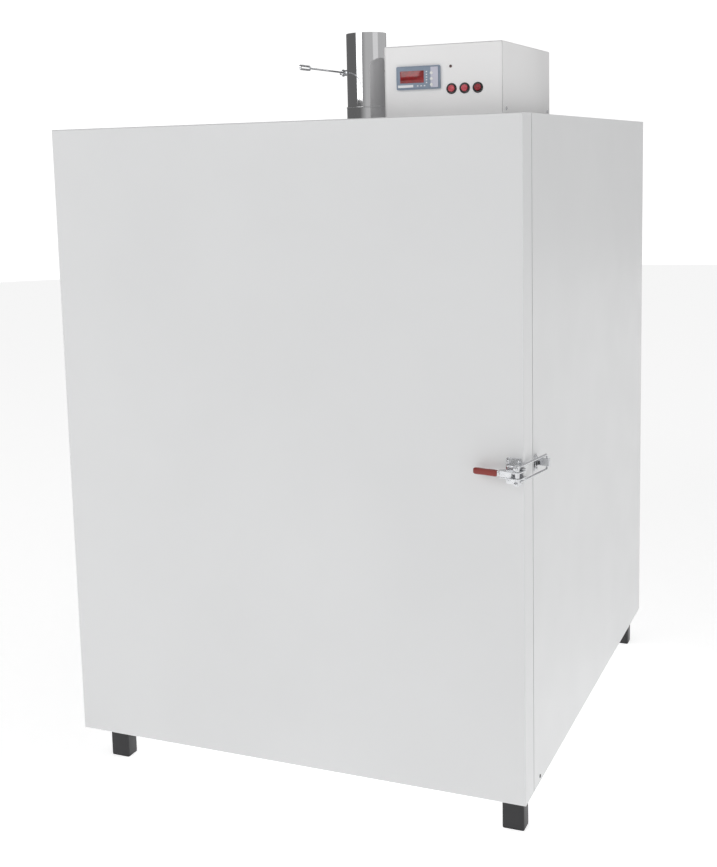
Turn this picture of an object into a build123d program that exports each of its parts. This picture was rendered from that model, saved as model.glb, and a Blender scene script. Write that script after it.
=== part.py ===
from build123d import *
import math
import os

os.makedirs("parts", exist_ok=True)

# A drying cabinet with one large door, in millimetres.
# +Z is up, the door faces -Y and the toggle latch is on the +X side.
# It is drawn about the middle of the cabinet body. The nodes are written about the middle of the
# whole cabinet, with the floor at z = 0.

# Cabinet body
BODY_W = 1120.0
BODY_H = 1460.0
BODY_D = 1230.0
SKIN = 1.5
FLANGE = 18.0
FRAME_DEPTH = 60.0
WALL = 70.0
LINER = 1.0
REAR_INSULATION = 60.0
MOTOR_ROOM = 27.0

# Legs
LEG_H = 100.0
LEG_W = 50.0
LEG_D = 40.0
LEG_WALL = 3.0
LEG_INSET_X = 25.0
LEG_INSET_Y = 6.0
CAP_T = 3.0
CAP_PLUG = 12.0

# Clearances
RUN_FIT = 0.05
SLIDE_GAP = 0.3
SEAM_GAP = 0.5

# Door
DOOR_T = 66.0
DOOR_GAP = 4.0
DOOR_EDGE_R = 3.0
PLUG_DEPTH = 20.0
PLUG_GAP = 15.0
GASKET_W = 16.0
GASKET_INSET = 14.0

# Door hinges, on the left wall
HINGE_H = 120.0
HINGE_END = 190.0
HINGE_OFFSET = 10.0
KNUCKLE_R = 9.0
HINGE_PIN_R = 5.0
PIN_HEAD_R = 7.0
PIN_HEAD_T = 2.5
LEAF_T = 3.0
LEAF_W = 38.0
LEAF_START = 10.5

# Exhaust tube with its damper
EXHAUST_X = 146.0
EXHAUST_BACK = 140.0
TUBE_R = 44.5
TUBE_WALL = 1.2
TUBE_TOP = 191.0
COLLAR_WALL = 1.5
COLLAR_TOP = 31.0
COLLAR_RIM = 1.2
COLLAR_FLANGE = 16.0
TUBE_SOCKET = 22.0
SHAFT_Z = 108.0
DAMPER_SHAFT_R = 4.0
DAMPER_T = 1.5
DAMPER_GAP = 1.0
SHAFT_REACH = 20.0
WASHER_R = 8.0
WASHER_T = 1.5
HUB_R = 6.5
HUB_T = 9.0
LEVER_R = 1.9
LEVER_L = 245.0
EYE_L = 50.0
EYE_H = 11.0

# Control box on the roof
BOX_X = 240.0
BOX_BACK = 8.0
BOX_W = 258.0
BOX_H = 148.0
BOX_D = 380.0
BOX_SKIN = 1.2
BOX_LIP = 9.0

# Panel controller
METER_X = 76.4
METER_Z = 81.0
METER_W = 96.0
METER_H = 48.0
METER_BEZEL = 8.0
METER_CORNER = 2.5
METER_DEPTH = 75.0
METER_FIT = 0.4
METER_RIM = 3.0
WINDOW_W = 52.5
WINDOW_H = 25.0
WINDOW_X = -12.7
WINDOW_Z = 1.8
WINDOW_T = 2.0
KEY_X = 30.4
KEY_ROWS = (8.6, -3.4, -15.4)
KEY_R = 3.3
KEY_T = 3.2
KEY_PROUD = 1.2
KEY_POCKET = 5.0

# Pilot lamp and rocker switches
LAMP_X = 146.3
LAMP_Z = 101.5
LAMP_R = 2.0
LAMP_RING_R = 3.0
LAMP_RING_T = 1.0
LAMP_BODY = 14.0
SWITCH_X = 147.8
SWITCH_PITCH = 28.4
SWITCH_COUNT = 3
SWITCH_Z = 55.8
BEZEL_R = 11.2
BEZEL_T = 2.2
SWITCH_R = 9.9
SWITCH_DEPTH = 24.0
ROCKER_R = 6.9
ROCKER_POCKET_R = 7.8
ROCKER_PIVOT = 1.0
ROCKER_TILT = 10.0
ROCKER_CUT = 4.6
ROCKER_REAR = 2.0
ROCKER_PIN_R = 1.2
ROCKER_PIN_END = 0.5

# Inside the control box
RAIL_BACK = 73.0
TERMINAL_W = 90.0
TERMINAL_D = 30.0
TERMINAL_H = 32.0
TERMINAL_POLES = 6
BARRIER_T = 1.5
TERMINAL_STEP = 10.0
TERMINAL_POCKET = 6.0
TERMINAL_POCKET_H = 12.0
RELAY_W = 45.0
RELAY_D = 80.0
RELAY_H = 70.0
RELAY_FINS = 6
RELAY_FIN_T = 2.0
RELAY_FIN_H = 28.0
RELAY_GAP = 20.0
GLAND_X = 60.0
GLAND_Z = 35.0
GLAND_R = 10.0
GLAND_HEX = 24.0
GLAND_NUT_T = 5.0
GLAND_DOME = 18.0
GLAND_TAIL = 8.0
GLAND_MOUTH_R = 4.5

# Chamber fittings
RACK_FRONT = 60.0
RACK_REAR = 90.0
RACK_W = 30.0
RACK_T = 12.0
RACK_SHEET = 1.2
RACK_MARGIN = 60.0
SLOT_PITCH = 100.0
SLOT_FIRST = 80.0
SLOT_W = 18.0
SLOT_H = 6.0
SHELF_SLOTS = (2, 5, 8)
RUNNER_FRONT = 70.0
RUNNER_END_GAP = 25.0
RUNNER_H = 20.0
RUNNER_W = 22.0
RUNNER_T = 1.5
TAB_GAP = 1.0
TAB_REACH = 3.0
SHELF_GAP = 4.0
SHELF_END = 30.0
SHELF_T = 1.2
SHELF_RIM = 18.0
SHELF_CORNER_R = 6.0
SHELF_MARGIN = 45.0
SHELF_COLUMNS = 2
SHELF_ROWS = 12
SHELF_BRIDGE = 40.0
SHELF_SLOT_W = 14.0
BAFFLE_GAP = 90.0
BAFFLE_SIDE = 40.0
BAFFLE_T = 1.0
INTAKE_R = 105.0
GRILLE_BARS = 7
GRILLE_BAR = 6.0

# Circulation fan
FAN_R = 140.0
FAN_INLET_R = 80.0
FAN_DEPTH = 50.0
FAN_SHEET = 1.5
FAN_BLADES = 8
BLADE_LEAN = 30.0
FAN_REAR_GAP = 20.0
FAN_SHAFT_R = 7.0
FAN_HUB_R = 20.0
FAN_HUB_L = 22.0
SHAFT_HOLE_R = 9.0
SHAFT_NOSE = 8.0
MOTOR_R = 60.0
MOTOR_L = 92.0
MOTOR_FLANGE_R = 75.0
MOTOR_FLANGE_T = 8.0
MOTOR_RIBS = 16
MOTOR_RIB = 3.0
SHAFT_IN_MOTOR = 60.0
MOTOR_BORE_END = 2.0
PAD_SIZE = 190.0
PAD_T = 4.0

# Tubular heaters
HEATER_R = 4.25
HEATER_FIT = 0.1
HEATER_X = 290.0
HEATER_L = 640.0
HEATER_STANDOFF = 45.0
HEATER_BEND = 25.0
HEATER_TAIL = 30.0

# Temperature probe, below the control box
PROBE_X = 200.0
PROBE_BACK = 85.0
PROBE_R = 3.0
PROBE_REACH = 140.0
PROBE_TAIL = 22.0
PROBE_NUT = 14.0
PROBE_NUT_T = 6.0

# Rear service opening
SERVICE_W = 400.0
SERVICE_H = 400.0
SERVICE_LAP = 22.0
SERVICE_SLOTS = 9
SERVICE_SLOT_L = 180.0
SERVICE_SLOT_W = 7.0
SERVICE_SLOT_PITCH = 18.0

# Dark plug low on the right side of the front frame
SIDE_PLUG_R = 3.5
SIDE_PLUG_HEAD_R = 4.5
SIDE_PLUG_T = 1.2
SIDE_PLUG_BACK = 10.0
SIDE_PLUG_UP = 14.0

# Toggle latch. Places are taken from the door's right edge, its front face and the latch's height
LATCH_UP = 733.0
BASE_W = 33.0
BASE_H = 56.0
BASE_EDGE = 5.0
BASE_T = 2.5
BASE_CORNER = 4.0
EAR_T = 2.5
EAR_IN = 8.5
EAR_R = 7.0
PIVOT_U = 2.0
PIVOT_V = -18.0
PIVOT_R = 3.0
PIVOT_HEAD_R = 4.5
PIVOT_HEAD_T = 1.8
TRUNNION_U = -4.2
TRUNNION_V = -38.0
TRUNNION_R = 5.0
TRUNNION_L = 42.0
CHEEK_IN = 5.5
CHEEK_T = 2.5
CHEEK_R = 8.5
HANDLE_LEAN = 11.0
NECK_START = 16.0
NECK_END = 36.0
NECK_R = 5.0
STEM_T = 5.0
STEM_W = 11.0
HANDLE_L = 100.0
GRIP_COVER = 2.0
GRIP_L = 55.0
GRIP_H = 14.0
GRIP_T = 10.0
GRIP_EDGE_R = 4.0
GRIP_TIP = 2.0
BAIL_U = 22.0
BAIL_V = 100.0
BAIL_R = 2.5
BAIL_HALF = 16.0
BAIL_BEND = 6.0
BAIL_THREAD = 14.0
NUT_FLATS = 8.0
NUT_T = 4.0
CATCH_W = 17.0
CATCH_T = 2.5
CATCH_FOOT = 24.0
CATCH_FOOT_H = 34.0
CATCH_GAP = 0.45
CATCH_TIP = 7.0
CATCH_LIP = 3.0

# Places worked out from the sizes above
HALF_W = BODY_W / 2
Y_FRONT = -BODY_D / 2
Y_BACK = BODY_D / 2
Z_BOTTOM = LEG_H
Z_TOP = LEG_H + BODY_H
SEAM_Y = Y_FRONT + FRAME_DEPTH
CHAMBER_X = HALF_W - WALL
CHAMBER_Z0 = Z_BOTTOM + WALL
CHAMBER_Z1 = Z_TOP - WALL
FAN_Z = (Z_BOTTOM + Z_TOP) / 2
MOTOR_BACK = Y_BACK - SKIN - MOTOR_ROOM
BULKHEAD_Y = MOTOR_BACK - MOTOR_L - MOTOR_FLANGE_T - PAD_T - SKIN
CHAMBER_BACK = BULKHEAD_Y - REAR_INSULATION - LINER
DOOR_BACK = Y_FRONT - DOOR_GAP
DOOR_FRONT = DOOR_BACK - DOOR_T
HINGE_X = -HALF_W - HINGE_OFFSET
HINGE_Y = Y_FRONT - DOOR_GAP / 2
HINGE_ZS = (Z_BOTTOM + HINGE_END, (Z_BOTTOM + Z_TOP) / 2, Z_TOP - HINGE_END)
LATCH_Z = Z_BOTTOM + LATCH_UP
EXHAUST_Y = Y_FRONT + EXHAUST_BACK
BOX_Y = Y_FRONT + BOX_BACK
BOX_REAR = BOX_Y + BOX_D
RAIL_Y = BOX_REAR - RAIL_BACK
RUNNER_Y = (Y_FRONT + RUNNER_FRONT, CHAMBER_BACK - BAFFLE_GAP - RUNNER_END_GAP)
SLOT_COUNT = int((BODY_H - 2 * (WALL + RACK_MARGIN + SLOT_FIRST)) // SLOT_PITCH) + 1
COLLAR_R = TUBE_R + RUN_FIT + COLLAR_WALL
DAMPER_Z = Z_TOP + SHAFT_Z
LEVER_X = EXHAUST_X - TUBE_R - WASHER_T - HUB_T / 2
PROBE_SPOT = (BOX_X + PROBE_X - BOX_W / 2, BOX_REAR - PROBE_BACK)
RACK_X = CHAMBER_X - RACK_T


def block(x, y, z):
    """Box between a low and a high limit along each axis."""
    limits = (x, y, z)
    size = [high - low for low, high in limits]
    middle = [(low + high) / 2 for low, high in limits]
    return Pos(*middle) * Box(*size)


def rod_x(x, y, z, radius):
    """Round bar along X, between two values of x."""
    return Pos((x[0] + x[1]) / 2, y, z) * Rot(0, 90, 0) * Cylinder(radius, x[1] - x[0])


def rod_y(x, y, z, radius):
    """Round bar along Y, between two values of y."""
    return Pos(x, (y[0] + y[1]) / 2, z) * Rot(90, 0, 0) * Cylinder(radius, y[1] - y[0])


def rod_z(x, y, z, radius):
    """Round bar along Z, between two values of z."""
    return Pos(x, y, (z[0] + z[1]) / 2) * Cylinder(radius, z[1] - z[0])


def both_sides(piece):
    """The piece and its mirror image across the middle of the cabinet."""
    return [piece, mirror(piece, about=Plane.YZ)]


nodes = {}


def save(name, *pieces):
    """Keep one node, which may hold several separate solids."""
    nodes[name] = [solid for piece in pieces for solid in piece.solids()]


def write_nodes():
    """Write every node about the middle of the whole cabinet."""
    everything = Compound([solid for solids in nodes.values() for solid in solids])
    middle = everything.bounding_box().center()
    print(f"middle of the whole cabinet: {middle.X:.4f} {middle.Y:.4f}")
    for name, solids in nodes.items():
        moved = [Pos(-middle.X, -middle.Y, 0) * solid for solid in solids]
        export_step(moved[0] if len(moved) == 1 else Compound(moved), f"parts/{name}.step")
        print(f"{name}: {len(moved)} solid(s)")


# Places of the holes that pass through the walls

def heater_top():
    return FAN_Z + HEATER_L / 2


def rear_wall_holes():
    """Ways for the fan shaft and the heater tails through the rear wall."""
    span = (CHAMBER_BACK - 1, BULKHEAD_Y + SKIN + PAD_T + 1)
    holes = [rod_y(0, span, FAN_Z, SHAFT_HOLE_R)]
    return holes + [rod_y(x, span, heater_top(), HEATER_R + HEATER_FIT) for x in (-HEATER_X, HEATER_X)]


def roof_holes():
    """Ways for the exhaust collar and the probe through the roof."""
    span = (CHAMBER_Z1 - 1, Z_TOP + BOX_SKIN + 1)
    collar = rod_z(EXHAUST_X, EXHAUST_Y, (CHAMBER_Z1 - 1, Z_TOP + 1), COLLAR_R + RUN_FIT)
    return [collar, rod_z(*PROBE_SPOT, span, PROBE_R + RUN_FIT)]


# Cabinet body

def front_frame():
    """Collar round the door opening, with a folded flange at its rear edge."""
    inner_x = (-HALF_W + SKIN, HALF_W - SKIN)
    inner_z = (Z_BOTTOM + SKIN, Z_TOP - SKIN)
    collar = block((-HALF_W, HALF_W), (Y_FRONT, SEAM_Y), (Z_BOTTOM, Z_TOP))
    collar -= block(inner_x, (Y_FRONT + SKIN, SEAM_Y + 1), inner_z)
    collar -= block((-CHAMBER_X, CHAMBER_X), (Y_FRONT - 1, SEAM_Y), (CHAMBER_Z0, CHAMBER_Z1))
    flange = block(inner_x, (SEAM_Y - SKIN, SEAM_Y), inner_z)
    flange -= block((-HALF_W + FLANGE, HALF_W - FLANGE), (SEAM_Y - SKIN - 1, SEAM_Y + 1),
                    (Z_BOTTOM + FLANGE, Z_TOP - FLANGE))
    return collar + flange - side_plug_hole()


def side_plug_hole():
    y = SEAM_Y - SIDE_PLUG_BACK
    z = Z_BOTTOM + SIDE_PLUG_UP
    return rod_x((HALF_W - SKIN - 1, HALF_W + 1), y, z, SIDE_PLUG_R + RUN_FIT)


def side_plug():
    """Small dark blind plug low on the latch side."""
    y = SEAM_Y - SIDE_PLUG_BACK
    z = Z_BOTTOM + SIDE_PLUG_UP
    head = rod_x((HALF_W, HALF_W + SIDE_PLUG_T), y, z, SIDE_PLUG_HEAD_R)
    return head + rod_x((HALF_W - SKIN, HALF_W), y, z, SIDE_PLUG_R)


def side_panel():
    """Right wall: a sheet with flanges folded inwards on all four edges."""
    tray_y = (SEAM_Y, Y_BACK - SKIN)
    tray_z = (Z_BOTTOM + SKIN, Z_TOP - SKIN)
    tray = block((HALF_W - FLANGE, HALF_W), tray_y, tray_z)
    tray -= block((HALF_W - FLANGE - 1, HALF_W - SKIN), (tray_y[0] + SKIN, tray_y[1] - SKIN),
                  (tray_z[0] + SKIN, tray_z[1] - SKIN))
    return tray + block((HALF_W - SKIN, HALF_W), (SEAM_Y, Y_BACK), (Z_BOTTOM, Z_TOP))


def level_panel(z):
    """Flat sheet that lies between the two side walls."""
    return block((-HALF_W + SKIN, HALF_W - SKIN), (SEAM_Y, Y_BACK), z)


def top_panel():
    sheet = level_panel((Z_TOP - SKIN, Z_TOP))
    for hole in roof_holes():
        sheet -= hole
    return sheet


def rear_panel():
    """Rear wall with the service opening behind the fan motor."""
    sheet = block((-HALF_W + SKIN, HALF_W - SKIN), (Y_BACK - SKIN, Y_BACK),
                  (Z_BOTTOM + SKIN, Z_TOP - SKIN))
    sheet -= block((-SERVICE_W / 2, SERVICE_W / 2), (Y_BACK - SKIN - 1, Y_BACK + 1),
                   (FAN_Z - SERVICE_H / 2, FAN_Z + SERVICE_H / 2))
    return sheet


def service_cover():
    """Vented plate screwed over the service opening."""
    half_x = SERVICE_W / 2 + SERVICE_LAP
    half_z = SERVICE_H / 2 + SERVICE_LAP
    through = (Y_BACK - 1, Y_BACK + SKIN + 1)
    plate = block((-half_x, half_x), (Y_BACK, Y_BACK + SKIN), (FAN_Z - half_z, FAN_Z + half_z))
    for row in range(SERVICE_SLOTS):
        z = FAN_Z + (row - (SERVICE_SLOTS - 1) / 2) * SERVICE_SLOT_PITCH
        half = SERVICE_SLOT_W / 2
        plate -= block((-SERVICE_SLOT_L / 2, SERVICE_SLOT_L / 2), through, (z - half, z + half))
    return plate


def rear_bulkhead():
    """Sheet behind the rear insulation, with a thick pad that carries the fan motor."""
    sheet = block((-HALF_W + SKIN, HALF_W - SKIN), (BULKHEAD_Y, BULKHEAD_Y + SKIN),
                  (Z_BOTTOM + 2 * SKIN, Z_TOP - 2 * SKIN))
    half = PAD_SIZE / 2
    sheet += block((-half, half), (BULKHEAD_Y + SKIN, BULKHEAD_Y + SKIN + PAD_T),
                   (FAN_Z - half, FAN_Z + half))
    for hole in rear_wall_holes():
        sheet -= hole
    return sheet


def chamber_liner():
    """Stainless inner box, open at the front."""
    outer_x = (-CHAMBER_X - LINER, CHAMBER_X + LINER)
    outer_z = (CHAMBER_Z0 - LINER, CHAMBER_Z1 + LINER)
    box = block(outer_x, (Y_FRONT + SKIN, CHAMBER_BACK + LINER), outer_z)
    box -= block((-CHAMBER_X, CHAMBER_X), (Y_FRONT, CHAMBER_BACK), (CHAMBER_Z0, CHAMBER_Z1))
    for hole in rear_wall_holes() + roof_holes():
        box -= hole
    return box


def wall_insulation(frame, panel):
    """Five slabs between the liner and the outer sheets."""
    outer = CHAMBER_X + LINER
    depth = (Y_FRONT + SKIN, BULKHEAD_Y)
    side = block((outer, HALF_W - SKIN), depth, (Z_BOTTOM + SKIN, Z_TOP - SKIN)) - frame - panel
    roof = block((-outer, outer), depth, (CHAMBER_Z1 + LINER, Z_TOP - SKIN)) - frame
    floor = block((-outer, outer), depth, (Z_BOTTOM + SKIN, CHAMBER_Z0 - LINER)) - frame
    rear = block((-outer, outer), (CHAMBER_BACK + LINER, BULKHEAD_Y),
                 (CHAMBER_Z0 - LINER, CHAMBER_Z1 + LINER))
    for hole in roof_holes():
        roof -= hole
    for hole in rear_wall_holes():
        rear -= hole
    return both_sides(side) + [roof, floor, rear]


def leg_corners():
    """Outer corner of each leg, with the two ways that lead inwards."""
    x = HALF_W - LEG_INSET_X
    y = Y_BACK - LEG_INSET_Y
    return [(sx * x, sy * y, -sx, -sy) for sx in (-1, 1) for sy in (-1, 1)]


def leg_block(corner, inset, z):
    """Upright block on a leg's outline, drawn in by an inset."""
    x, y, way_x, way_y = corner
    xs = sorted((x + way_x * inset, x + way_x * (LEG_W - inset)))
    ys = sorted((y + way_y * inset, y + way_y * (LEG_D - inset)))
    return block(xs, ys, z)


def legs():
    """Four lengths of rectangular tube."""
    return [leg_block(c, 0, (CAP_T, LEG_H)) - leg_block(c, LEG_WALL, (CAP_T - 1, LEG_H + 1))
            for c in leg_corners()]


def leg_caps():
    """Plastic caps pushed into the tubes from below."""
    inset = LEG_WALL + RUN_FIT
    return [leg_block(c, 0, (0, CAP_T)) + leg_block(c, inset, (CAP_T, CAP_T + CAP_PLUG))
            for c in leg_corners()]


# Door

def door_cavity(y):
    """Space inside the door's outer sheet, with its rounded front edges."""
    space = block((-HALF_W + SKIN, HALF_W - SKIN), y, (Z_BOTTOM + SKIN, Z_TOP - SKIN))
    return fillet(space.faces().sort_by(Axis.Y)[0].edges(), DOOR_EDGE_R - SKIN)


def door_skin():
    """Deep tray of white sheet that makes the front and the four edges."""
    tray = block((-HALF_W, HALF_W), (DOOR_FRONT, DOOR_BACK), (Z_BOTTOM, Z_TOP))
    tray = fillet(tray.faces().sort_by(Axis.Y)[0].edges(), DOOR_EDGE_R)
    return tray - door_cavity((DOOR_FRONT + SKIN, DOOR_BACK + 1))


def plug_block(inset, y):
    """Block on the outline of the step that reaches into the chamber."""
    x = CHAMBER_X - PLUG_GAP - inset
    return block((-x, x), y, (CHAMBER_Z0 + PLUG_GAP + inset, CHAMBER_Z1 - PLUG_GAP - inset))


def door_inner_panel():
    """Stainless rear face of the door, with a step into the chamber."""
    sheet = block((-HALF_W + SKIN, HALF_W - SKIN), (DOOR_BACK - LINER, DOOR_BACK),
                  (Z_BOTTOM + SKIN, Z_TOP - SKIN))
    sheet += plug_block(0, (DOOR_BACK - LINER, DOOR_BACK + PLUG_DEPTH))
    return sheet - plug_block(LINER, (DOOR_BACK - LINER - 1, DOOR_BACK + PLUG_DEPTH - LINER))


def door_insulation():
    core = door_cavity((DOOR_FRONT + SKIN, DOOR_BACK - LINER))
    return core + plug_block(LINER, (DOOR_BACK - LINER, DOOR_BACK + PLUG_DEPTH - LINER))


def gasket_block(inset, y):
    x = CHAMBER_X + GASKET_INSET + GASKET_W - inset
    z0 = CHAMBER_Z0 - GASKET_INSET - GASKET_W + inset
    z1 = CHAMBER_Z1 + GASKET_INSET + GASKET_W - inset
    return block((-x, x), y, (z0, z1))


def door_gasket():
    """Silicone seal that fills the gap between the door and the frame."""
    ring = gasket_block(0, (DOOR_BACK, Y_FRONT))
    return ring - gasket_block(GASKET_W, (DOOR_BACK - 1, Y_FRONT + 1))


# Hinges

def hinge_leaf(z, side, spans):
    """One leaf of a hinge. Side is 1 for the frame's leaf and -1 for the door's."""
    z_range = (z - HINGE_H / 2, z + HINGE_H / 2)
    ys = sorted((HINGE_Y + side * LEAF_START, HINGE_Y + side * LEAF_W))
    leaf = block((-HALF_W - LEAF_T, -HALF_W), ys, z_range)
    bridge_ys = sorted((HINGE_Y, HINGE_Y + side * LEAF_START))
    for span in spans:
        leaf += rod_z(HINGE_X, HINGE_Y, span, KNUCKLE_R)
        leaf += block((-HALF_W - 2 * LEAF_T, -HALF_W), bridge_ys, span)
    return leaf - rod_z(HINGE_X, HINGE_Y, (z_range[0] - 1, z_range[1] + 1), HINGE_PIN_R + RUN_FIT)


def knuckle_spans(z):
    """Spans of the two frame knuckles and of the door knuckle between them."""
    half = HINGE_H / 2
    third = HINGE_H / 6
    frame = [(z - half, z - third), (z + third, z + half)]
    return frame, [(z - third + SLIDE_GAP, z + third - SLIDE_GAP)]


def hinges():
    """Frame leaves, door leaves and pins of all hinges."""
    frame_leaves = [hinge_leaf(z, 1, knuckle_spans(z)[0]) for z in HINGE_ZS]
    door_leaves = [hinge_leaf(z, -1, knuckle_spans(z)[1]) for z in HINGE_ZS]
    pins = []
    for z in HINGE_ZS:
        low, high = z - HINGE_H / 2, z + HINGE_H / 2
        head = rod_z(HINGE_X, HINGE_Y, (high, high + PIN_HEAD_T), PIN_HEAD_R)
        pins.append(head + rod_z(HINGE_X, HINGE_Y, (low, high), HINGE_PIN_R))
    return frame_leaves, door_leaves, pins


# Exhaust tube and damper

def tube_section(inner, outer, z):
    """Round tube on the exhaust's axis."""
    wall = rod_z(EXHAUST_X, EXHAUST_Y, z, outer)
    return wall - rod_z(EXHAUST_X, EXHAUST_Y, (z[0] - 1, z[1] + 1), inner)


def exhaust_collar():
    """Socket from the chamber to above the roof, with a roof flange and a stiff rim."""
    bore = TUBE_R + RUN_FIT
    top = Z_TOP + COLLAR_TOP
    collar = tube_section(bore, COLLAR_R, (CHAMBER_Z1, top))
    collar += tube_section(bore, COLLAR_R + COLLAR_FLANGE, (Z_TOP, Z_TOP + COLLAR_WALL))
    return collar + tube_section(bore, COLLAR_R + COLLAR_RIM, (top - 2 * COLLAR_RIM, top))


def exhaust_tube():
    """Polished tube that stands in the collar and carries the damper shaft."""
    tube = tube_section(TUBE_R - TUBE_WALL, TUBE_R, (Z_TOP + COLLAR_TOP - TUBE_SOCKET, Z_TOP + TUBE_TOP))
    across = (EXHAUST_X - TUBE_R - 1, EXHAUST_X + TUBE_R + 1)
    return tube - rod_x(across, EXHAUST_Y, DAMPER_Z, DAMPER_SHAFT_R + RUN_FIT)


def damper_plate():
    """Round plate that sits in a slot of its shaft. At rest it lies flat and closes the tube."""
    z = (DAMPER_Z - DAMPER_T / 2, DAMPER_Z + DAMPER_T / 2)
    return rod_z(EXHAUST_X, EXHAUST_Y, z, TUBE_R - TUBE_WALL - DAMPER_GAP)


def damper_shaft(plate):
    left = EXHAUST_X - TUBE_R - SHAFT_REACH
    right = EXHAUST_X + TUBE_R + WASHER_T
    return rod_x((left, right), EXHAUST_Y, DAMPER_Z, DAMPER_SHAFT_R) - plate


def damper_hub():
    """Washer, hub and nut on the lever's end of the shaft."""
    face = EXHAUST_X - TUBE_R
    washer = rod_x((face - WASHER_T, face - SLIDE_GAP), EXHAUST_Y, DAMPER_Z, WASHER_R)
    hub = rod_x((face - WASHER_T - HUB_T, face - WASHER_T), EXHAUST_Y, DAMPER_Z, HUB_R)
    nut_x = face - WASHER_T - HUB_T
    nut = Pos(nut_x, EXHAUST_Y, DAMPER_Z) * Rot(0, -90, 0) * extrude(RegularPolygon(WASHER_R, 6), NUT_T)
    bore = rod_x((face - 3 * SHAFT_REACH, face + 1), EXHAUST_Y, DAMPER_Z, DAMPER_SHAFT_R)
    return washer + hub + nut - bore


def damper_lever():
    """Thin rod that points to the front and ends in a long narrow eye."""
    tip = EXHAUST_Y - LEVER_L
    neck = tip + EYE_L
    rod = rod_y(LEVER_X, (neck - LEVER_R, EXHAUST_Y - DAMPER_SHAFT_R), DAMPER_Z, LEVER_R)
    eye = SlotOverall(EYE_L, EYE_H) - SlotOverall(EYE_L - 4 * LEVER_R, EYE_H - 4 * LEVER_R)
    flat = Plane(origin=(LEVER_X - LEVER_R, tip + EYE_L / 2, DAMPER_Z), x_dir=(0, 1, 0), z_dir=(1, 0, 0))
    return rod + extrude(flat * eye, 2 * LEVER_R)


# Control box

def box_shape(inset, y, z):
    return block((BOX_X + inset, BOX_X + BOX_W - inset), y, z)


def switch_places():
    return [BOX_X + SWITCH_X + i * SWITCH_PITCH for i in range(SWITCH_COUNT)]


def meter_centre():
    return BOX_X + METER_X, Z_TOP + METER_Z


def box_chassis():
    """Base with the front and rear plates, and a lip at the back."""
    inset = BOX_SKIN + SEAM_GAP
    rear = BOX_REAR
    z_high = Z_TOP + BOX_H - BOX_SKIN - SEAM_GAP
    tray = box_shape(inset, (BOX_Y, rear + BOX_LIP), (Z_TOP, Z_TOP + BOX_SKIN))
    tray += box_shape(inset, (BOX_Y, BOX_Y + BOX_SKIN), (Z_TOP, z_high))
    tray += box_shape(inset, (rear - BOX_SKIN, rear), (Z_TOP, z_high))
    through = (BOX_Y - 1, BOX_Y + BOX_SKIN + 1)
    meter_x, meter_z = meter_centre()
    half_x = METER_W / 2 - METER_RIM
    half_z = METER_H / 2 - METER_RIM
    tray -= block((meter_x - half_x, meter_x + half_x), through, (meter_z - half_z, meter_z + half_z))
    for x in switch_places():
        tray -= rod_y(x, through, Z_TOP + SWITCH_Z, SWITCH_R + RUN_FIT)
    tray -= rod_y(BOX_X + LAMP_X, through, Z_TOP + LAMP_Z, LAMP_R + RUN_FIT)
    tray -= rod_y(BOX_X + GLAND_X, (rear - BOX_SKIN - 1, rear + 1), Z_TOP + GLAND_Z,
                  GLAND_R + RUN_FIT)
    return tray - rod_z(*PROBE_SPOT, (Z_TOP - 1, Z_TOP + BOX_SKIN + 1), PROBE_R + RUN_FIT)


def box_cover():
    """Cover with the roof and the two sides in one folded sheet."""
    depth = (BOX_Y, BOX_REAR)
    cover = box_shape(0, depth, (Z_TOP + BOX_SKIN, Z_TOP + BOX_H))
    cover -= box_shape(BOX_SKIN, (BOX_Y - 1, BOX_REAR + 1), (Z_TOP, Z_TOP + BOX_H - BOX_SKIN))
    return cover


def meter_case():
    """Panel controller: bezel, window recess, key holes and the body behind the plate."""
    x, z = meter_centre()
    front = BOX_Y - METER_BEZEL
    bezel = block((x - METER_W / 2, x + METER_W / 2), (front, BOX_Y), (z - METER_H / 2, z + METER_H / 2))
    bezel = fillet(bezel.edges().filter_by(Axis.Y), METER_CORNER)
    half_x = METER_W / 2 - METER_RIM - METER_FIT
    half_z = METER_H / 2 - METER_RIM - METER_FIT
    body = block((x - half_x, x + half_x), (BOX_Y, BOX_Y + METER_DEPTH), (z - half_z, z + half_z))
    case = bezel + body - meter_window(1)
    for row in KEY_ROWS:
        case -= rod_y(x + KEY_X, (front - 1, front + KEY_POCKET), z + row, KEY_R + RUN_FIT)
    return case


def meter_window(proud):
    """Red window set flush in the bezel. Proud lets the same shape cut its recess."""
    x, z = meter_centre()
    front = BOX_Y - METER_BEZEL
    half_x, half_z = WINDOW_W / 2, WINDOW_H / 2
    return block((x + WINDOW_X - half_x, x + WINDOW_X + half_x), (front - proud, front + WINDOW_T),
                 (z + WINDOW_Z - half_z, z + WINDOW_Z + half_z))


def meter_key(row):
    """Round key that is pushed in, towards +Y."""
    x, z = meter_centre()
    face = BOX_Y - METER_BEZEL - KEY_PROUD
    key = rod_y(x + KEY_X, (face, face + KEY_T), z + row, KEY_R)
    return chamfer(key.faces().sort_by(Axis.Y)[0].edges(), KEY_PROUD / 3)


def pilot_lamp():
    x, z = BOX_X + LAMP_X, Z_TOP + LAMP_Z
    ring = rod_y(x, (BOX_Y - LAMP_RING_T, BOX_Y), z, LAMP_RING_R)
    return ring + rod_y(x, (BOX_Y - LAMP_RING_T - LAMP_R, BOX_Y + LAMP_BODY), z, LAMP_R)


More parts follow.
